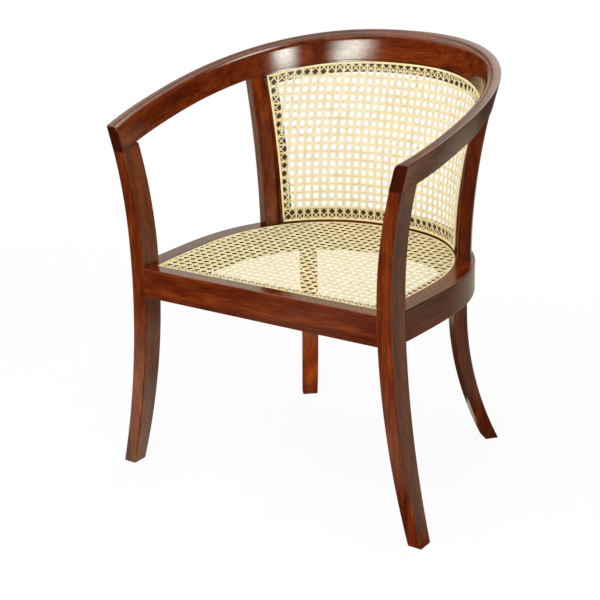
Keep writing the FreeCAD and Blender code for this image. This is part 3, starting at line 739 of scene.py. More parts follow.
def crossing(low, high, above):
    """Where a test turns from false at low to true at high."""
    for _ in range(HALVINGS):
        mid = 0.5 * (low + high)
        if above(mid):
            high = mid
        else:
            low = mid
    return 0.5 * (low + high)


def angle_at(kind, y, inset):
    """Angle of a plan curve, on the right front, where its inset line crosses a given y."""
    return crossing(FRONT_LIMIT, 0.0, lambda degree: hoop_point(kind, degree, inset)[0].y > y)


def top_plane(y):
    """Height of the top rail's upper face."""
    return TOP_FRONT_Z + TOP_SLOPE * (y - FRONT_Y)


def sideways(out):
    """Level direction across an outward one."""
    return Vector((-out.y, out.x, 0.0))


def mirrored(rings):
    """The same rings on the other side of the chair."""
    return [[Vector((-point.x, point.y, point.z)) for point in ring] for ring in rings]


def at_height(point, z):
    """A point of the plan at a height."""
    return Vector((point.x, point.y, z))


def rings_of(lines):
    """Rings across a piece from the lines along it."""
    return [list(ring) for ring in zip(*lines)]


def shell(points, faces, arrises, stains_and_shades):
    """Closed mesh of points and faces.

    arrises gives a bevel weight for each edge that is rounded, and stains_and_shades the share of stain and
    painted shade for each face that is darker and duller than polished wood.
    """
    form = bmesh.new()
    weights = form.edges.layers.float.new("bevel_weight_edge")
    corners = [form.verts.new(point * MM) for point in points]
    for face in faces:
        form.faces.new([corners[i] for i in face]).smooth = True
    for (first, second), weight in arrises.items():
        form.edges.get((corners[first], corners[second]))[weights] = weight
    bmesh.ops.recalc_face_normals(form, faces=form.faces)
    for edge in form.edges:
        edge.smooth = edge[weights] > 0.0 or edge.calc_face_angle() < SHARP_TURN
    mesh = bpy.data.meshes.new("wood")
    form.to_mesh(mesh)
    form.free()
    shares = [stains_and_shades.get(i, 0.0) for i in range(len(faces))]
    mesh.attributes.new("stain", "FLOAT", "FACE").data.foreach_set("value", shares)
    return mesh


def skin(rings, arrises, ends, strips=None, first_end=0.0):
    """Closed mesh through rings of points.

    arrises maps a lengthwise line to its bevel weight. ends holds the weights of the two end rings, each
    one number or a list by line. strips gives the share of painted shade of lengthwise faces by their first
    line, and first_end the stain of the first end's face.
    """
    count = len(rings[0])
    last = count * (len(rings) - 1)
    points = [point for ring in rings for point in ring]
    faces = [range(count), range(last, last + count)]
    stains_and_shades = {0: first_end}
    weights = {}
    for near in range(0, last, count):
        far = near + count
        for i, stain in (strips or {}).items():
            stains_and_shades[len(faces) + i] = stain
        for i in range(count):
            j = (i + 1) % count
            faces.append((near + i, near + j, far + j, far + i))
        for i, weight in arrises.items():
            weights[near + i, far + i] = weight
    for first, end in zip((0, last), ends):
        for i in range(count):
            weights[first + i, first + (i + 1) % count] = end[i] if isinstance(end, list) else end
    return shell(points, faces, weights, stains_and_shades)


def place_piece(name, mesh, nodes):
    """Puts a finished mesh in the scene in place of its solids."""
    piece = bpy.data.objects.new(name, mesh)
    bpy.context.scene.collection.objects.link(piece)
    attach(piece, "root")
    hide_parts(*nodes)
    return piece


def wood_piece(node, mesh, kind):
    """A wooden piece with rounded arrises in place of the solid of that name."""
    mesh.name = node + "_form"
    mesh.materials.append(polished_wood(kind))
    piece = place_piece(mesh.name, mesh, [node])
    bevel = piece.modifiers.new("Arrises", "BEVEL")
    bevel.limit_method = "WEIGHT"
    bevel.width = bpy.context.scene.chair_wood.arris
    bevel.segments = ARRIS_SEGMENTS
    shading = piece.modifiers.new("Even shading", "WEIGHTED_NORMAL")
    shading.keep_sharp = True


def wood_pair(stem, kind, rings, *edges, **stains_and_shades):
    """A right-hand piece and its mirror image on the left."""
    wood_piece(stem + "_right", skin(rings, *edges, **stains_and_shades), kind)
    wood_piece(stem + "_left", skin(mirrored(rings), *edges, **stains_and_shades), kind)


def rail_outline():
    """Section of the top rail as inset and drop, with a rounded inner top edge."""
    flat_end = Vector((RAIL_T - RAIL_ROUND, 0.0))
    corner = Vector((RAIL_T, 0.0))
    face_start = Vector((RAIL_T + RAIL_LEAN * RAIL_ROUND / RAIL_H, RAIL_ROUND))
    turn = []
    for t in spread(0.0, 1.0, RAIL_ROUND_STEPS):
        turn.append(flat_end * (1.0 - t) ** 2 + corner * (2.0 * t * (1.0 - t)) + face_start * t ** 2)
    return [Vector((0.0, 0.0))] + turn + [Vector((RAIL_INSIDE, RAIL_H)), Vector((RAIL_LEAN, RAIL_H))]


def rail_line(first, last, count, inset, drop):
    """Line along the top rail at an inset and at a drop below its upper face, between two angles."""
    line = [hoop_point("top", degree, inset)[0] for degree in spread(first, last, count)]
    return [at_height(point, top_plane(point.y) - drop) for point in line]


def arm_rings():
    """Right arm from its flat front end to its joint with the crest."""
    return rings_of(rail_line(angle_at("top", FRONT_Y, inset), TOP_JOINT_ANGLE, ARM_RINGS, inset, drop)
                    for inset, drop in rail_outline())


def crest_rings():
    """Crest between its joints with the two arms."""
    return rings_of(rail_line(TOP_JOINT_ANGLE, 180.0 - TOP_JOINT_ANGLE, CREST_RINGS, inset, drop)
                    for inset, drop in rail_outline())


def leg_edge(seat_x, foot_x, top_x, top_power, z):
    """A side edge of the front leg at one height: it flares from the seat to the foot and to the top."""
    if z <= SEAT_TOP:
        return seat_x + (foot_x - seat_x) * ((SEAT_TOP - z) / SEAT_TOP) ** FOOT_POWER
    return seat_x + (top_x - seat_x) * ((z - SEAT_TOP) / (TOP_FRONT_Z - SEAT_TOP)) ** top_power


def arm_front_x():
    """Where the outer top edge of the arm ends, in the plane of the front legs' front faces."""
    return hoop_point("top", angle_at("top", FRONT_Y, 0.0), 0.0)[0].x


def leg_outer(z):
    """Outer edge of the right front leg at one height."""
    return leg_edge(LEG_OUT_SEAT, LEG_FOOT_OUT, arm_front_x(), LEG_OUT_POWER, z)


def leg_inner(z):
    """Inner edge of the right front leg at one height."""
    return leg_edge(LEG_IN_SEAT, LEG_FOOT_OUT - LEG_FOOT_W, arm_front_x() - LEG_TOP_W, LEG_IN_POWER, z)


def leg_back(z):
    """Rear face of the front legs at one height."""
    taper_top = SEAT_BOTTOM - LEG_TAPER_DROP
    share = max(0.0, 1.0 - z / taper_top) ** LEG_TAPER_POWER
    return LEG_BACK_Y - (LEG_DEPTH - LEG_FOOT_DEPTH) * share


def front_leg_rings():
    """Right front leg from the floor to the arm's sloping underside."""
    front_top = top_plane(FRONT_Y) - RAIL_H
    back_top = top_plane(LEG_BACK_Y) - RAIL_H
    rings = []
    for share in spread(0.0, 1.0, FRONT_LEG_RINGS):
        low = front_top * share
        high = back_top * share
        rings.append([
            Vector((leg_outer(low), FRONT_Y, low)),
            Vector((leg_inner(low), FRONT_Y, low)),
            Vector((leg_inner(high), leg_back(high), high)),
            Vector((leg_outer(high), leg_back(high), high)),
        ])
    return rings


def bar_ring(inner, out, tangent, thick, half_w):
    """Four corners of a bar: its inner face's middle, its outward direction and its width."""
    return [inner - tangent * half_w, inner + tangent * half_w,
            inner + out * thick + tangent * half_w, inner + out * thick - tangent * half_w]


def back_leg_rings():
    """Right back leg: a sabre curve in a radial plane, narrowing to the foot."""
    base, out = hoop_point("seat", BACK_LEG_ANGLE, BACK_LEG_SETBACK + BACK_LEG_T)
    sweep_top = SEAT_BOTTOM - BACK_LEG_STRAIGHT
    rings = []
    for z in spread(0.0, SEAT_BOTTOM, BACK_LEG_RINGS):
        sweep = BACK_SWEEP * max(0.0, 1.0 - z / sweep_top) ** 2
        width = BACK_FOOT_W + (BACK_LEG_W - BACK_FOOT_W) * z / SEAT_BOTTOM
        inner = base + out * sweep + Vector((0.0, 0.0, z))
        rings.append(bar_ring(inner, out, sideways(out), BACK_LEG_T, 0.5 * width))
    return rings


def post_line():
    """Inner face of the right post: its foot on the hoop, its head under the rail, its direction."""
    foot = hoop_point("seat", POST_ANGLE, POST_EDGE + POST_T)[0]
    head = hoop_point("top", POST_ANGLE, RAIL_INSIDE)[0]
    return foot, head, (head - foot).normalized()


def back_post_rings():
    """Right back post: curved outward, from the seat hoop to the rail's sloping underside."""
    foot, head, out = post_line()
    tangent = sideways(out)
    rise = top_plane(head.y) - RAIL_H - SEAT_TOP
    reach = (head - foot).length

    def corner(offset, z):
        return foot + offset + out * (reach * ((z - SEAT_TOP) / rise) ** 2) + Vector((0.0, 0.0, z))

    lines = []
    for offset in bar_ring(Vector((0.0, 0.0, 0.0)), out, tangent, POST_T, 0.5 * POST_W):
        top = crossing(SEAT_TOP, TOP_FRONT_Z + RAIL_H + rise,
                       lambda z: z > top_plane(corner(offset, z).y) - RAIL_H)
        lines.append([corner(offset, z) for z in spread(SEAT_TOP, top, POST_RINGS)])
    return rings_of(lines)


def seat_section():
    """Section of a seat rail as inset and height: outer face, top, groove, cane land, inner face."""
    groove_end = GROOVE_INSET + GROOVE_W
    return [(0.0, SEAT_BOTTOM), (0.0, SEAT_TOP), (GROOVE_INSET, SEAT_TOP), (GROOVE_INSET, GROOVE_FLOOR),
            (groove_end, GROOVE_FLOOR), (groove_end, LAND_TOP), (HOOP_W, LAND_TOP), (HOOP_W, SEAT_BOTTOM)]


def seat_rail_rings(first, last, count):
    """Rings of the seat hoop between two angles. Without a first angle it starts at the leg's back."""
    lines = []
    for inset, z in seat_section():
        start = angle_at("seat", LEG_BACK_Y, inset) if first is None else first
        line = [hoop_point("seat", degree, inset)[0] for degree in spread(start, last, count)]
        lines.append([at_height(point, z) for point in line])
    return rings_of(lines)


def front_rail_shell():
    """Front rail between the legs. Its groove and land stop where the cord turns back along the sides."""
    turn = hoop_point("seat", angle_at("seat", CANE_FRONT_Y, GROOVE_INSET), GROOVE_INSET)[0].x
    back = LEG_BACK_Y - RAIL_FACE_Y
    groove_end = GROOVE_FRONT + GROOVE_W
    low_end = leg_inner(SEAT_BOTTOM)
    high_end = leg_inner(SEAT_TOP)
    # Corners of the right half, numbered in this order: depth is the distance from the rail's front face
    half = [(low_end, 0.0, SEAT_BOTTOM), (high_end, 0.0, SEAT_TOP), (high_end, back, SEAT_TOP),
            (low_end, back, SEAT_BOTTOM), (turn, back, SEAT_TOP), (turn, GROOVE_FRONT, SEAT_TOP),
            (turn, GROOVE_FRONT, GROOVE_FLOOR), (turn, groove_end, GROOVE_FLOOR),
            (turn, groove_end, LAND_TOP), (turn, back, LAND_TOP)]
    right = [Vector((x, RAIL_FACE_Y + depth, z)) for x, depth, z in half]
    points = right + mirrored([right])[0]
    other = len(right)

    def across(*numbers):
        """A face from a line on the right to the same line on the left."""
        return [*numbers, *(other + i for i in reversed(numbers))]

    faces = [across(0, 1), across(3, 0), across(3, 2, 4, 9), across(1, 2, 4, 5)]
    faces += [across(i, i + 1) for i in range(5, 9)]
    for first in (0, other):
        faces.append([first + i for i in (0, 1, 2, 3)])
        faces.append([first + i for i in (4, 5, 6, 7, 8, 9)])
    weights = {0: SLIGHT, 1: FULL, 3: FINE, 9: FINE}
    arrises = {(i, other + i): weight for i, weight in weights.items()}
    # Faces 2 and 7 lie under the cane and get painted shade
    return shell(points, faces, arrises, {2: SHADE_UNDER_CANE, 7: SHADE_UNDER_CANE})


def tub_level(degree, inset, z):
    """A point of the curved back at one angle, inset and height."""
    foot = hoop_point("seat", degree, inset)[0]
    head = hoop_point("top", degree, inset)[0]
    point = foot
    for _ in range(SETTLING):
        rise = max(0.0, (z - SEAT_TOP) / (top_plane(point.y) - RAIL_H - SEAT_TOP))
        point = foot + (head - foot) * rise ** 2
    return at_height(point, z)


def tub_above(degree, inset, rise):
    """A point of the curved back at a distance above the seat."""
    return tub_level(degree, inset, SEAT_TOP + rise)


def tub_under(degree, inset, drop):
    """A point of the curved back at a distance below the top rail."""
    z = TOP_FRONT_Z
    for _ in range(RAIL_SETTLING):
        point = tub_level(degree, inset, z)
        z = top_plane(point.y) - RAIL_H - drop
    return at_height(point, z)


def side_distance(point):
    """How far a point of the back lies behind the right post's rear face, or far behind on the left."""
    if point.x < 0.0:
        return FAR_BEHIND
    foot, _, out = post_line()
    tangent = sideways(out)
    return (point - foot - tangent * (0.5 * POST_W)).dot(tangent)


def side_angle(border, point_at):
    """Angle at which a line of the curved back lies at a distance from the post's rear face."""
    return crossing(0.5 * POST_ANGLE, 90.0, lambda degree: side_distance(point_at(degree)) > border)


def panel_section(width):
    """Section of a panel member as inset and distance from the panel's edge, with its groove."""
    groove_end = PANEL_LIP + GROOVE_W
    deep = PANEL_FRONT - PANEL_GROOVE_D
    return [(PANEL_FRONT, 0.0), (PANEL_FRONT, PANEL_LIP), (deep, PANEL_LIP), (deep, groove_end),
            (PANEL_FRONT, groove_end), (PANEL_FRONT, width), (PANEL_BACK, width), (PANEL_BACK, 0.0)]


def panel_rail_rings(point_at, width):
    """Bottom or top member of the panel, between the two posts."""
    lines = []
    for inset, border in panel_section(width):
        def line_at(degree):
            return point_at(degree, inset, border)
        start = side_angle(0.0, line_at)
        lines.append([line_at(degree) for degree in spread(start, 180.0 - start, PANEL_RAIL_RINGS)])
    return rings_of(lines)


def panel_stile_rings():
    """Right stile, between the bottom and the top member."""
    rings = []
    for share in spread(0.0, 1.0, STILE_RINGS):
        ring = []
        for inset, border in panel_section(PANEL_STILE):
            top = tub_under(side_angle(border, lambda d: tub_under(d, inset, PANEL_HEAD)), inset, PANEL_HEAD)
            z = SEAT_TOP + PANEL_SILL + (top.z - SEAT_TOP - PANEL_SILL) * share
            ring.append(tub_level(side_angle(border, lambda d: tub_level(d, inset, z)), inset, z))
        rings.append(ring)
    return rings


class ArmchairOperator:
    """What all the piece operators share."""
    bl_options = {"REGISTER", "UNDO"}


class CHAIR_OT_top_rail(ArmchairOperator, bpy.types.Operator):
    """Horseshoe top rail: two arms and the crest"""
    bl_idname = "chair.top_rail"
    bl_label = "Top rail"

    def execute(self, context):
        inner_low = RAIL_ROUND_STEPS + 1
        outer_low = inner_low + 1
        arrises = {0: FULL, inner_low: SLIGHT, outer_low: SLIGHT}
        front = [FULL] * (outer_low + 1)
        front[inner_low] = JOINT
        wood_pair("arm", "arm", arm_rings(), arrises, (front, JOINT), first_end=END_GRAIN)
        wood_piece("crest_rail", skin(crest_rings(), arrises, (JOINT, JOINT)), "across")
        return {"FINISHED"}


class CHAIR_OT_front_legs(ArmchairOperator, bpy.types.Operator):
    """Front legs, curved sideways and tapered in depth"""
    bl_idname = "chair.front_legs"
    bl_label = "Front legs"

    def execute(self, context):
        wood_pair("front_leg", "upright", front_leg_rings(), SQUARE_BAR, (SLIGHT, JOINT))
        return {"FINISHED"}


class CHAIR_OT_back_legs(ArmchairOperator, bpy.types.Operator):
    """Sabre curved back legs"""
    bl_idname = "chair.back_legs"
    bl_label = "Back legs"

    def execute(self, context):
        wood_pair("back_leg", "upright", back_leg_rings(), SQUARE_BAR, (SLIGHT, JOINT))
        return {"FINISHED"}


class CHAIR_OT_back_posts(ArmchairOperator, bpy.types.Operator):
    """Back posts between the seat hoop and the top rail"""
    bl_idname = "chair.back_posts"
    bl_label = "Back posts"

    def execute(self, context):
        wood_pair("back_post", "upright", back_post_rings(), SQUARE_BAR, (JOINT, JOINT))
        return {"FINISHED"}


class CHAIR_OT_seat_hoop(ArmchairOperator, bpy.types.Operator):
    """Seat hoop: front rail, side rails and curved back rail"""
    bl_idname = "chair.seat_hoop"
    bl_label = "Seat hoop"

    def execute(self, context):
        side = seat_rail_rings(None, HOOP_JOINT_ANGLE, SIDE_RAIL_RINGS)
        back = seat_rail_rings(HOOP_JOINT_ANGLE, 180.0 - HOOP_JOINT_ANGLE, BACK_RAIL_RINGS)
        # The seat rails' faces under the cane get painted shade
        edges = (SEAT_ARRISES, SHARP_ENDS)
        # Painted shade darkens the top of the left seat rail alone
        shaded_left = {**SEAT_COVERED, 1: PAINTED_SHADE_LEFT_TOP}
        wood_piece("side_rail_right", skin(side, *edges, SEAT_COVERED), "side")
        wood_piece("side_rail_left", skin(mirrored(side), *edges, shaded_left), "side")
        wood_piece("back_rail", skin(back, *edges, SEAT_COVERED), "back_rail")
        wood_piece("front_rail", front_rail_shell(), "across")
        return {"FINISHED"}


class CHAIR_OT_back_frame(ArmchairOperator, bpy.types.Operator):
    """Curved frame of the back panel: bottom, top and two stiles"""
    bl_idname = "chair.back_frame"
    bl_label = "Back panel frame"

    def execute(self, context):
        bottom = panel_rail_rings(tub_above, PANEL_SILL)
        top = panel_rail_rings(tub_under, PANEL_HEAD)
        # The panel's faces under the cane get painted shade
        edges = (PANEL_ARRISES, SHARP_ENDS, PANEL_COVERED)
        wood_piece("panel_bottom", skin(bottom, *edges), "across")
        wood_piece("panel_top", skin(top, *edges), "across")
        wood_pair("panel_stile", "upright", panel_stile_rings(), *edges)
        return {"FINISHED"}


class BackSheet:
    """The back's cane surface, unrolled: across is the length along a level line, up is the height."""

    def __init__(self):
        rail_foot = tub_under(90.0, BACK_CANE_INSET, 0.0).z
        self.last = ceil((rail_foot - SEAT_TOP) / ROW_STEP) + 1
        self.top = SEAT_TOP + ROW_STEP * self.last
        self.rows = [self.level_line(SEAT_TOP + ROW_STEP * i) for i in range(self.last + 1)]

    def level_line(self, z):
        """Runs and points of the right half at one height, from the middle forward."""
        points = [tub_level(degree, BACK_CANE_INSET, z) for degree in spread(90.0, ROW_END_ANGLE, ROW_POINTS)]
        steps = [(second - first).length for first, second in zip(points, points[1:])]
        return list(accumulate(steps, initial=0.0)), points

    def on_row(self, i, run):
        """Point of one row at a run from the middle."""
        runs, points = self.rows[i]
        k = max(0, min(len(runs) - 2, bisect_right(runs, run) - 1))
        return points[k].lerp(points[k + 1], (run - runs[k]) / (runs[k + 1] - runs[k]))

    def spot(self, across, up):
        """Point of the sheet, between its two nearest rows."""
        level = (up - SEAT_TOP) / ROW_STEP
        i = max(0, min(self.last - 1, int(level)))
        point = self.on_row(i, abs(across)).lerp(self.on_row(i + 1, abs(across)), level - i)
        if across < 0.0:
            point.x = -point.x
        return point

    def side_run(self, up, border):
        """Run at which a level line reaches the side border."""
        far = self.rows[0][0][-1]
        return crossing(0.0, far, lambda run: side_distance(self.spot(run, up)) < border)

    def top_height(self, across, border):
        """Height at which an upright line reaches the top border."""
        return crossing(SEAT_TOP, self.top,
                        lambda up: top_plane(self.spot(across, up).y) - RAIL_H - up < border)

    def outline(self, side, level):
        """Closed outline at distances inside the groove's outer edge, at the sides and below and above."""
        side_border = PANEL_LIP + side
        border = PANEL_LIP + level
        low = SEAT_TOP + border
        high = crossing(low, self.top,
                        lambda up: up > self.top_height(self.side_run(up, side_border), border))
        right = [(self.side_run(up, side_border), up) for up in spread(low, high, SIDE_POINTS)]
        start = right[0][0]
        end = right[-1][0]
        top = [(across, self.top_height(across, border)) for across in spread(end, -end, LEVEL_POINTS)]
        left = [(-across, up) for across, up in reversed(right)]
        bottom = [(across, low) for across in spread(-start, start, LEVEL_POINTS)]
        return right + top[1:-1] + left + bottom[1:-1]


class SeatSheet:
    """The seat's cane surface, in plan."""

    def spot(self, across, up):
        return Vector((across, up, SEAT_TOP - SEAT_CANE_DROP))

    def outline(self, side, front):
        """Closed outline at distances inside the groove's outer edge, along the hoop and at the front."""
        inset = GROOVE_INSET + side
        start = angle_at("seat", CANE_FRONT_Y + front, inset)
        line = [hoop_point("seat", degree, inset)[0] for degree in spread(start, 180.0 - start, HOOP_POINTS)]
        return [(point.x, point.y) for point in line]


def clipped(outline, start, direction):
    """First and last place where a straight line crosses a closed outline, or None."""
    normal = Vector((-direction.y, direction.x))
    places = []
    for first, second in zip(outline, outline[1:] + outline[:1]):
        a = Vector(first) - start
        b = Vector(second) - start
        side_a = a.dot(normal)
        side_b = b.dot(normal)
        if (side_a > 0.0) != (side_b > 0.0):
            places.append(a.lerp(b, side_a / (side_a - side_b)).dot(direction))
    return (min(places), max(places)) if places else None


def weave_lines(pitch, gap, size):
    """Straight lines of the six-way weave about a hole: family, number, a start and a direction.

    The holes lie at whole pitches, the pairs halfway between them, and the diagonals cross at the
    middles of the pairs.
    """
    reach = ceil(size / pitch)
    lines = []
    for i in range(-reach, reach):
        place = (i + 0.5) * pitch
        for shift in (-0.5 * gap, 0.5 * gap):
            lines.append(("upright", i, Vector((place + shift, 0.0)), Vector((0.0, 1.0))))
            lines.append(("level", i, Vector((0.0, place + shift)), Vector((1.0, 0.0))))
    for i in range(-2 * reach, 2 * reach):
        start = Vector((0.0, (i + 0.5) * pitch))
        lines.append(("rising", i, start, Vector((1.0, 1.0)).normalized()))
        lines.append(("falling", i, start, Vector((1.0, -1.0)).normalized()))
    return lines


def weave_lift(family, number, spot, pitch, pair_wave, diagonal_wave):
    """How far a strand lies above the sheet's middle at one spot."""
    sign = -1.0 if number % 2 else 1.0
    if family == "upright":
        return sign * pair_wave * cos(pi * (spot.y / pitch - 0.5))
    if family == "level":
        return -sign * pair_wave * cos(pi * (spot.x / pitch - 0.5))
    turn = -1.0 if family == "rising" else 1.0
    return turn * diagonal_wave * cos(2.0 * pi * spot.x / pitch)


def line_mesh(name, points, edges, across, sizes):
    """Edge lines to sweep, with the sideways direction and the size of the profile at each point."""
    mesh = bpy.data.meshes.new(name)
    mesh.from_pydata([point * MM for point in points], edges, [])
    sides = mesh.attributes.new("across", "FLOAT_VECTOR", "POINT")
    sides.data.foreach_set("vector", [part for vector in across for part in vector])
    mesh.attributes.new("size", "FLOAT", "POINT").data.foreach_set("value", sizes)
    return mesh


def woven_lines(name, sheet, hole, bare_side):
    """Edge lines of all strands of one sheet, with a tone for each.

    hole is the place of one hole. Upright pairs stop at bare_side from the sides.
    """
    cane = bpy.context.scene.chair_cane
    pitch = cane.pitch / MM
    waves = (cane.pair_wave / MM, cane.diagonal_wave / MM)
    draw = random.Random(cane.seed)
    whole = sheet.outline(CORD_MID, CORD_MID)
    pair_outlines = {"upright": sheet.outline(CORD_MID + bare_side, CORD_MID),
                     "level": sheet.outline(CORD_MID, CORD_MID + BARE_BORDER)}
    points = []
    edges = []
    across = []
    sizes = []
    tones = []
    for family, number, start, direction in weave_lines(pitch, cane.pair_gap / MM, 2.0 * SEAT_HALF_W):
        tone = draw.random()
        span = clipped(pair_outlines.get(family, whole), hole + start, direction)
        if span is None or span[1] - span[0] < SHORTEST_STRAND * pitch:
            continue
        count = max(FEWEST_STATIONS, ceil((span[1] - span[0]) / (STRAND_STEP * pitch)))
        edges += [(i, i + 1) for i in range(len(points), len(points) + count - 1)]
        sizes += [cane.pair_share if family in pair_outlines else 1.0] * count
        tones += [tone] * count
        for t in spread(*span, count):
            spot = start + direction * t
            flat = hole + spot
            here = sheet.spot(flat.x, flat.y)
            along = sheet.spot(flat.x + direction.x, flat.y + direction.y) - here
            right = sheet.spot(flat.x - direction.y, flat.y + direction.x) - here
            normal = along.cross(right).normalized()
            points.append(here + normal * weave_lift(family, number, spot, pitch, *waves))
            across.append(normal.cross(along).normalized())
    mesh = line_mesh(name, points, edges, across, sizes)
    mesh.attributes.new("tone", "FLOAT", "POINT").data.foreach_set("value", tones)
    return mesh


def swept_tree(name, sizes, profile):
    """Geometry Nodes that sweep a profile along edge lines, with named inputs for its sizes."""
    tree = bpy.data.node_groups.new(name, "GeometryNodeTree")
    tree.interface.new_socket("Lines", in_out="INPUT", socket_type="NodeSocketGeometry")
    for size, kind in sizes.items():
        tree.interface.new_socket(size, in_out="INPUT", socket_type=kind)
    tree.interface.new_socket("Finish", in_out="INPUT", socket_type="NodeSocketMaterial")
    tree.interface.new_socket("Strands", in_out="OUTPUT", socket_type="NodeSocketGeometry")
    graph = Graph(tree)
    given = graph.node("NodeGroupInput")
    across = graph.node("GeometryNodeInputNamedAttribute", {"data_type": "FLOAT_VECTOR"}, {"Name": "across"})
    size = graph.node("GeometryNodeInputNamedAttribute", {"data_type": "FLOAT"}, {"Name": "size"})
    curve = graph.node("GeometryNodeMeshToCurve", inputs={"Mesh": given})
    turned = graph.node("GeometryNodeSetCurveNormal", {"mode": "FREE"}, {"Curve": curve, "Normal": across})
    swept = graph.node("GeometryNodeCurveToMesh", inputs={
        "Curve": turned, "Profile Curve": profile(graph, given), "Scale": size, "Fill Caps": True})
    whole = graph.node("GeometryNodeRealizeInstances", inputs={"Geometry": swept})
    done = graph.node("GeometryNodeSetMaterial", inputs={
        "Geometry": whole, "Material": given.other("Finish")})
    graph.node_out(done)
    return tree


def strand_profile(graph, given):
    """Crowned strip: flat below and narrower above."""
    width = given.other("Width")
    return graph.node("GeometryNodeCurvePrimitiveQuadrilateral", {"mode": "TRAPEZOID"}, {
        "Bottom Width": width, "Top Width": width * STRAND_CROWN, "Offset": 0.0,
        "Height": given.other("Thickness")})


def cord_profile(graph, given):
    """Round section."""
    return graph.node("GeometryNodeCurvePrimitiveCircle", inputs={
        "Resolution": given.other("Sides"), "Radius": given.other("Radius")})


def swept_mesh(name, lines, tree, values):
    """Plain mesh of edge lines swept by a tree, with the tree's inputs set by name."""
    carrier = bpy.data.objects.new(name, lines)
    bpy.context.scene.collection.objects.link(carrier)
    modifier = carrier.modifiers.new("Sweep", "NODES")
    modifier.node_group = tree
    for item in tree.interface.items_tree:
        if item.name in values:
            modifier[item.identifier] = values[item.name]
    graph = bpy.context.evaluated_depsgraph_get()
    mesh = bpy.data.meshes.new_from_object(carrier.evaluated_get(graph), preserve_all_data_layers=True,
                                           depsgraph=graph)
    bpy.data.objects.remove(carrier)
    bpy.data.meshes.remove(lines)
    if not mesh.polygons:
        raise RuntimeError(name + " came out empty")
    mesh.name = name
    return mesh


def place_cane(name, node, sheet, hole, bare_side):
    """Weaves one sheet in place of its solid."""
    cane = bpy.context.scene.chair_cane
    lines = woven_lines(name, sheet, hole, bare_side)
    tree = swept_tree("Swept strand", {"Width": "NodeSocketFloat", "Thickness": "NodeSocketFloat"},
                      strand_profile)
    mesh = swept_mesh(name, lines, tree, {"Width": cane.strand_width, "Thickness": cane.strand_depth,
                                          "Finish": cane_finish()})
    place_piece(name, mesh, [node])


class CHAIR_OT_seat_cane(ArmchairOperator, bpy.types.Operator):
    """Woven cane of the seat"""
    bl_idname = "chair.seat_cane"
    bl_label = "Seat cane"

    def execute(self, context):
        hole = Vector((0.0, CANE_FRONT_Y + CORD_MID + FIRST_HOLE))
        place_cane("seat_cane_weave", "seat_cane", SeatSheet(), hole, 0.0)
        return {"FINISHED"}


class CHAIR_OT_back_cane(ArmchairOperator, bpy.types.Operator):
    """Woven cane of the curved back"""
    bl_idname = "chair.back_cane"
    bl_label = "Back cane"

    def execute(self, context):
        hole = Vector((BACK_HOLE_SHIFT, SEAT_TOP + PANEL_LIP + CORD_MID + FIRST_HOLE))
        place_cane("back_cane_weave", "back_cane", BackSheet(), hole, BARE_BORDER)
        return {"FINISHED"}


def cord_lines(name, spots):
    """Closed edge line of a cord through spots of its sheet."""
    count = len(spots)
    edges = [(i, (i + 1) % count) for i in range(count)]
    upward = Vector((0.0, 0.0, 1.0))
    across = [upward.cross((spots[after] - spots[i - 1]).normalized()).normalized() for i, after in edges]
    return line_mesh(name, spots, edges, across, [1.0] * count)


class CHAIR_OT_cane_cords(ArmchairOperator, bpy.types.Operator):
    """Cane cords pressed into the grooves round the seat and the back"""
    bl_idname = "chair.cane_cords"
    bl_label = "Cane cords"

    def execute(self, context):
        cane = context.scene.chair_cane
        tree = swept_tree("Swept cord", {"Radius": "NodeSocketFloat", "Sides": "NodeSocketInt"}, cord_profile)
        for name, node, sheet, sink in (("seat_cord", "seat_spline", SeatSheet(), SEAT_CORD_SINK),
                                        ("back_cord", "back_spline", BackSheet(), 0.0)):
            spots = [sheet.spot(across, up) - Vector((0.0, 0.0, sink))
                     for across, up in sheet.outline(CORD_MID, CORD_MID)]
            mesh = swept_mesh(name, cord_lines(name, spots), tree, {
                "Radius": cane.cord_radius, "Sides": cane.cord_sides, "Finish": cord_finish()})
            mesh.shade_smooth()
            place_piece(name, mesh, [node])
        return {"FINISHED"}


class CHAIR_OT_hidden_joinery(ArmchairOperator, bpy.types.Operator):
    """Finishes of the loose tenons, corner blocks and screws, which keep their solids"""
    bl_idname = "chair.hidden_joinery"
    bl_label = "Hidden joinery"

    def execute(self, context):
        for stem in ("crest_tenon", "hoop_tenon", "corner_block"):
            self.dress(stem, bare_wood())
        for stem in ("block_screw_front", "block_screw_side"):
            self.dress(stem, screw_steel())
        return {"FINISHED"}

    def dress(self, stem, material):
        for side in ("_left", "_right"):
            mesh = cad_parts[stem + side].data
            mesh.materials.clear()
            mesh.materials.append(material)


def add_lamp(name, power, place, target, width, height):
    """Box lamp that faces a target. The camera doesn't see it."""
    data = bpy.data.lights.new(name, "AREA")
    data.shape = "RECTANGLE"
    data.size = width
    data.size_y = height
    data.energy = power
    lamp = bpy.data.objects.new(name, data)
    lamp.location = place
    lamp.rotation_euler = (Vector(target) - Vector(place)).to_track_quat("-Z", "Y").to_euler()
    lamp.visible_camera = False
    bpy.context.scene.collection.objects.link(lamp)
    return lamp


def soften(lamp):
    """Fades a lamp out towards its edges, and leaves it to the polish alone."""
    lamp.visible_diffuse = False
    lamp.data.color = LAMP_TINT
    lamp.data.use_nodes = True
    graph = Graph(lamp.data.node_tree)
    spot = graph.parts(graph.node("ShaderNodeNewGeometry", output="Parametric"))
    strength = graph.fade(spot.other("X"), *LAMP_LIMITS) * graph.fade(spot.other("Y"), *LAMP_LIMITS)
    graph.feed(lamp.data.node_tree.nodes["Emission"], {"Strength": strength})


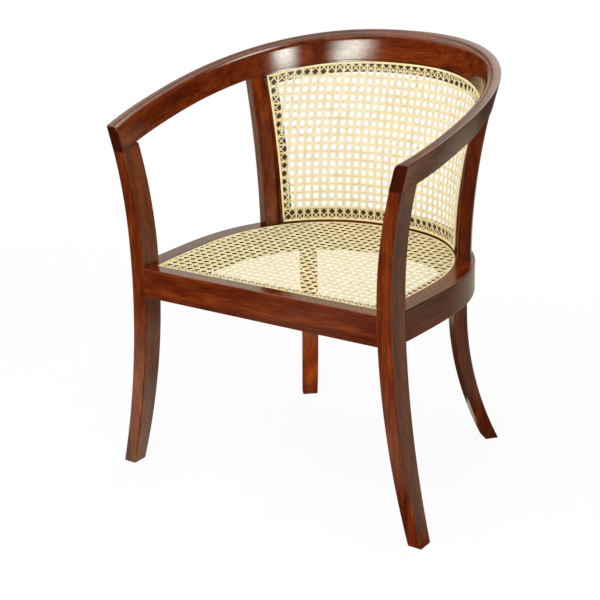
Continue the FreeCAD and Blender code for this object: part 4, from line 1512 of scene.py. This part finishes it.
def seen_or_mirrored(graph):
    """1 for rays from the camera, and 1 for those that a polish or glass sends on."""
    path = graph.node("ShaderNodeLightPath")
    sent_on = graph.maths("MAXIMUM", path.other("Is Glossy Ray"), path.other("Is Transmission Ray"))
    return path.other("Is Camera Ray"), sent_on


def floor_gleam(graph, place):
    """How bright the polish mirrors the floor at a place: dim, with a painted shadow under the seat and
    painted bright patches.
    """
    parts = graph.parts(place)
    across = parts.other("X")
    deep = parts.other("Y")
    # Painted shadow of the chair in the floor's mirror image, with a painted strip of light across it
    under = graph.fade(deep, *UNDER_Y) * graph.fade(graph.maths("ABSOLUTE", across), *UNDER_X)
    losses = graph.fade(across, *CROSSED_X) * CROSSED_LOSS + graph.fade(across, *STRIP_END_X) * STRIP_END_LOSS
    strip = graph.fade(deep - across * STRIP_SLANT, *STRIP_LIMITS) * (STRIP_LEVEL - losses)
    level = graph.fade(across, *NEARER_X) * NEARER_LEVEL + graph.patch(across, deep, *FRONT_LEFT) + OPEN_LEVEL
    level = level * graph.fade(deep, *LIT_Y) * (1.0 - graph.fade(deep, *DISTANT_Y) * DISTANT_LOSS)
    level = level * (1.0 - under) + under * strip + LEAST_GLEAM
    # Painted bright patches of light that only the polish mirrors
    for patch in FLOOR_PATCHES:
        level = level + graph.patch(across, deep, *patch)
    return level


@made_once
def floor_white():
    """White floor with a little shading near the chair. In the polish it is dim, with a painted shadow under
    the seat and painted bright patches.
    """
    material, graph, shader = new_material("studio_floor_white")
    place = graph.place()
    seen, reflected = seen_or_mirrored(graph)
    distance = graph.node("ShaderNodeVectorMath", {"operation": "LENGTH"}, {0: place}, "Value")
    shading = graph.fade(distance, *FLOOR_SHADING) * bpy.context.scene.chair_stage.shadow
    paper = graph.mix(seen, grey(FLOOR_LIGHTING), grey(FLOOR_SEEN))
    matt = graph.node("ShaderNodeBsdfDiffuse", inputs={"Color": paper})
    white = graph.node("ShaderNodeEmission", inputs={"Color": grey(1.0), "Strength": 1.0})
    gleam = graph.node("ShaderNodeEmission", inputs={
        "Color": FLOOR_TINT, "Strength": floor_gleam(graph, place)})
    plain = graph.node("ShaderNodeMixShader", inputs={0: seen * (1.0 - shading), 1: matt, 2: white})
    ground = graph.node("ShaderNodeMixShader", inputs={0: reflected, 1: plain, 2: gleam})
    graph.tree.nodes.remove(shader)
    graph.feed(graph.tree.nodes["Material Output"], {"Surface": ground})
    return material


class CHAIR_OT_stage(ArmchairOperator, bpy.types.Operator):
    """White studio: floor, sky, lamps and camera"""
    bl_idname = "chair.stage"
    bl_label = "Stage"

    def execute(self, context):
        self.floor(context)
        self.sky(context)
        self.lamps(context)
        self.camera(context)
        context.scene.view_settings.view_transform = "Standard"
        return {"FINISHED"}

    def floor(self, context):
        sides = ((-1, -1), (1, -1), (1, 1), (-1, 1))
        mesh = bpy.data.meshes.new("studio_floor")
        mesh.from_pydata([(x * FLOOR_HALF, y * FLOOR_HALF, 0.0) for x, y in sides], [], [(0, 1, 2, 3)])
        mesh.materials.append(floor_white())
        floor = bpy.data.objects.new("studio_floor", mesh)
        context.scene.collection.objects.link(floor)

    def sky(self, context):
        """White where the camera looks, soft light for the rest, a backdrop and a ceiling in the polish."""
        world = bpy.data.worlds.new("studio_sky")
        world.use_nodes = True
        context.scene.world = world
        graph = Graph(world.node_tree)
        seen, reflected = seen_or_mirrored(graph)
        parts = graph.parts(graph.node("ShaderNodeTexCoord", output="Generated"))
        across = parts.other("X")
        high = parts.other("Z")
        soft = (graph.fade(high, *SOFT_Z) * SOFT_RISE + SOFT_LOW) * context.scene.chair_stage.sky
        bright = graph.patch(high, high - across * BRIGHT_SLANT, *BRIGHT_CORNER)
        dark = graph.patch(across, high, *DARK_CORNER)
        backdrop = graph.fade(parts.other("Y"), *BACKDROP_Y) * (1.0 - dark) * (1.0 + bright)
        ceiling = graph.fade(high, *CEILING_Z) * CEILING_LEVEL
        shiny = backdrop + ceiling + graph.patch(across, high, *LEFT_GLOW)
        shiny = shiny * graph.fade(across, *SKY_END_X) + LEAST_GLEAM
        level = soft + (shiny - soft) * reflected
        tint = graph.mix(reflected, grey(1.0), SKY_TINT)
        graph.feed(world.node_tree.nodes["Background"], {
            "Color": tint, "Strength": level + (1.0 - level) * seen})

    def lamps(self, context):
        """Four boxes that only the polish mirrors, three that light the chair softly, and one narrow lamp."""
        stage = context.scene.chair_stage
        for name, (place, width, height) in MIRRORED_LAMPS.items():
            power = getattr(stage, name + "_lamp")
            soften(add_lamp(name + "_box", power, place, CREST_MIDDLE, width, height))
        for name, (place, width, height) in SOFT_LAMPS.items():
            power = getattr(stage, name + "_lamp")
            add_lamp(name + "_box", power, place, SEAT_MIDDLE, width, height).visible_glossy = False
        spot = add_lamp("leg_spot", stage.leg_lamp, LEG_LAMP_PLACE, LEG_LAMP_TARGET, LEG_LAMP_SIZE,
                        LEG_LAMP_SIZE)
        spot.data.spread = radians(LEG_LAMP_SPREAD)
        spot.visible_glossy = False

    def camera(self, context):
        azimuth = radians(CAMERA_AZIMUTH)
        elevation = radians(CAMERA_ELEVATION)
        roll = radians(CAMERA_ROLL)
        forward = Vector((-sin(azimuth) * cos(elevation), cos(azimuth) * cos(elevation), -sin(elevation)))
        level = Vector((cos(azimuth), sin(azimuth), 0.0))
        right = level * cos(roll) + level.cross(forward) * sin(roll)
        data = bpy.data.cameras.new("photo_camera")
        data.lens = CAMERA_LENS
        data.sensor_width = CAMERA_SENSOR
        camera = bpy.data.objects.new("photo_camera", data)
        turn = Matrix((right, right.cross(forward), -forward)).transposed().to_4x4()
        camera.matrix_world = Matrix.Translation(CAMERA_PLACE) @ turn
        context.scene.collection.objects.link(camera)
        context.scene.camera = camera


GROUPS = {"chair_wood": ChairWood, "chair_cane": ChairCane, "chair_stage": ChairStage}
OPERATORS = (
    CHAIR_OT_stage,
    CHAIR_OT_top_rail,
    CHAIR_OT_front_legs,
    CHAIR_OT_back_legs,
    CHAIR_OT_back_posts,
    CHAIR_OT_seat_hoop,
    CHAIR_OT_back_frame,
    CHAIR_OT_seat_cane,
    CHAIR_OT_back_cane,
    CHAIR_OT_cane_cords,
    CHAIR_OT_hidden_joinery,
)


class CHAIR_PT_build(bpy.types.Panel):
    """Lists the armchair's sizes, colours and pieces"""
    bl_idname = "CHAIR_PT_build"
    bl_label = "Cane tub armchair"
    bl_space_type = "VIEW_3D"
    bl_region_type = "UI"
    bl_category = "Armchair"

    def draw(self, context):
        for operator in OPERATORS:
            self.layout.operator(operator.bl_idname)
        for group in GROUPS:
            settings = getattr(context.scene, group)
            box = self.layout.box()
            for name in settings.__annotations__:
                box.prop(settings, name)


def register():
    for group in GROUPS.values():
        bpy.utils.register_class(group)
    for name, group in GROUPS.items():
        setattr(bpy.types.Scene, name, PointerProperty(type=group))
    for kind in (*OPERATORS, CHAIR_PT_build):
        bpy.utils.register_class(kind)


def unregister():
    for kind in (CHAIR_PT_build, *reversed(OPERATORS)):
        bpy.utils.unregister_class(kind)
    for name, group in GROUPS.items():
        delattr(bpy.types.Scene, name)
        bpy.utils.unregister_class(group)


def main():
    register()
    for operator in OPERATORS:
        group, name = operator.bl_idname.split(".")
        getattr(getattr(bpy.ops, group), name)()


if __name__ == "__main__":
    main()
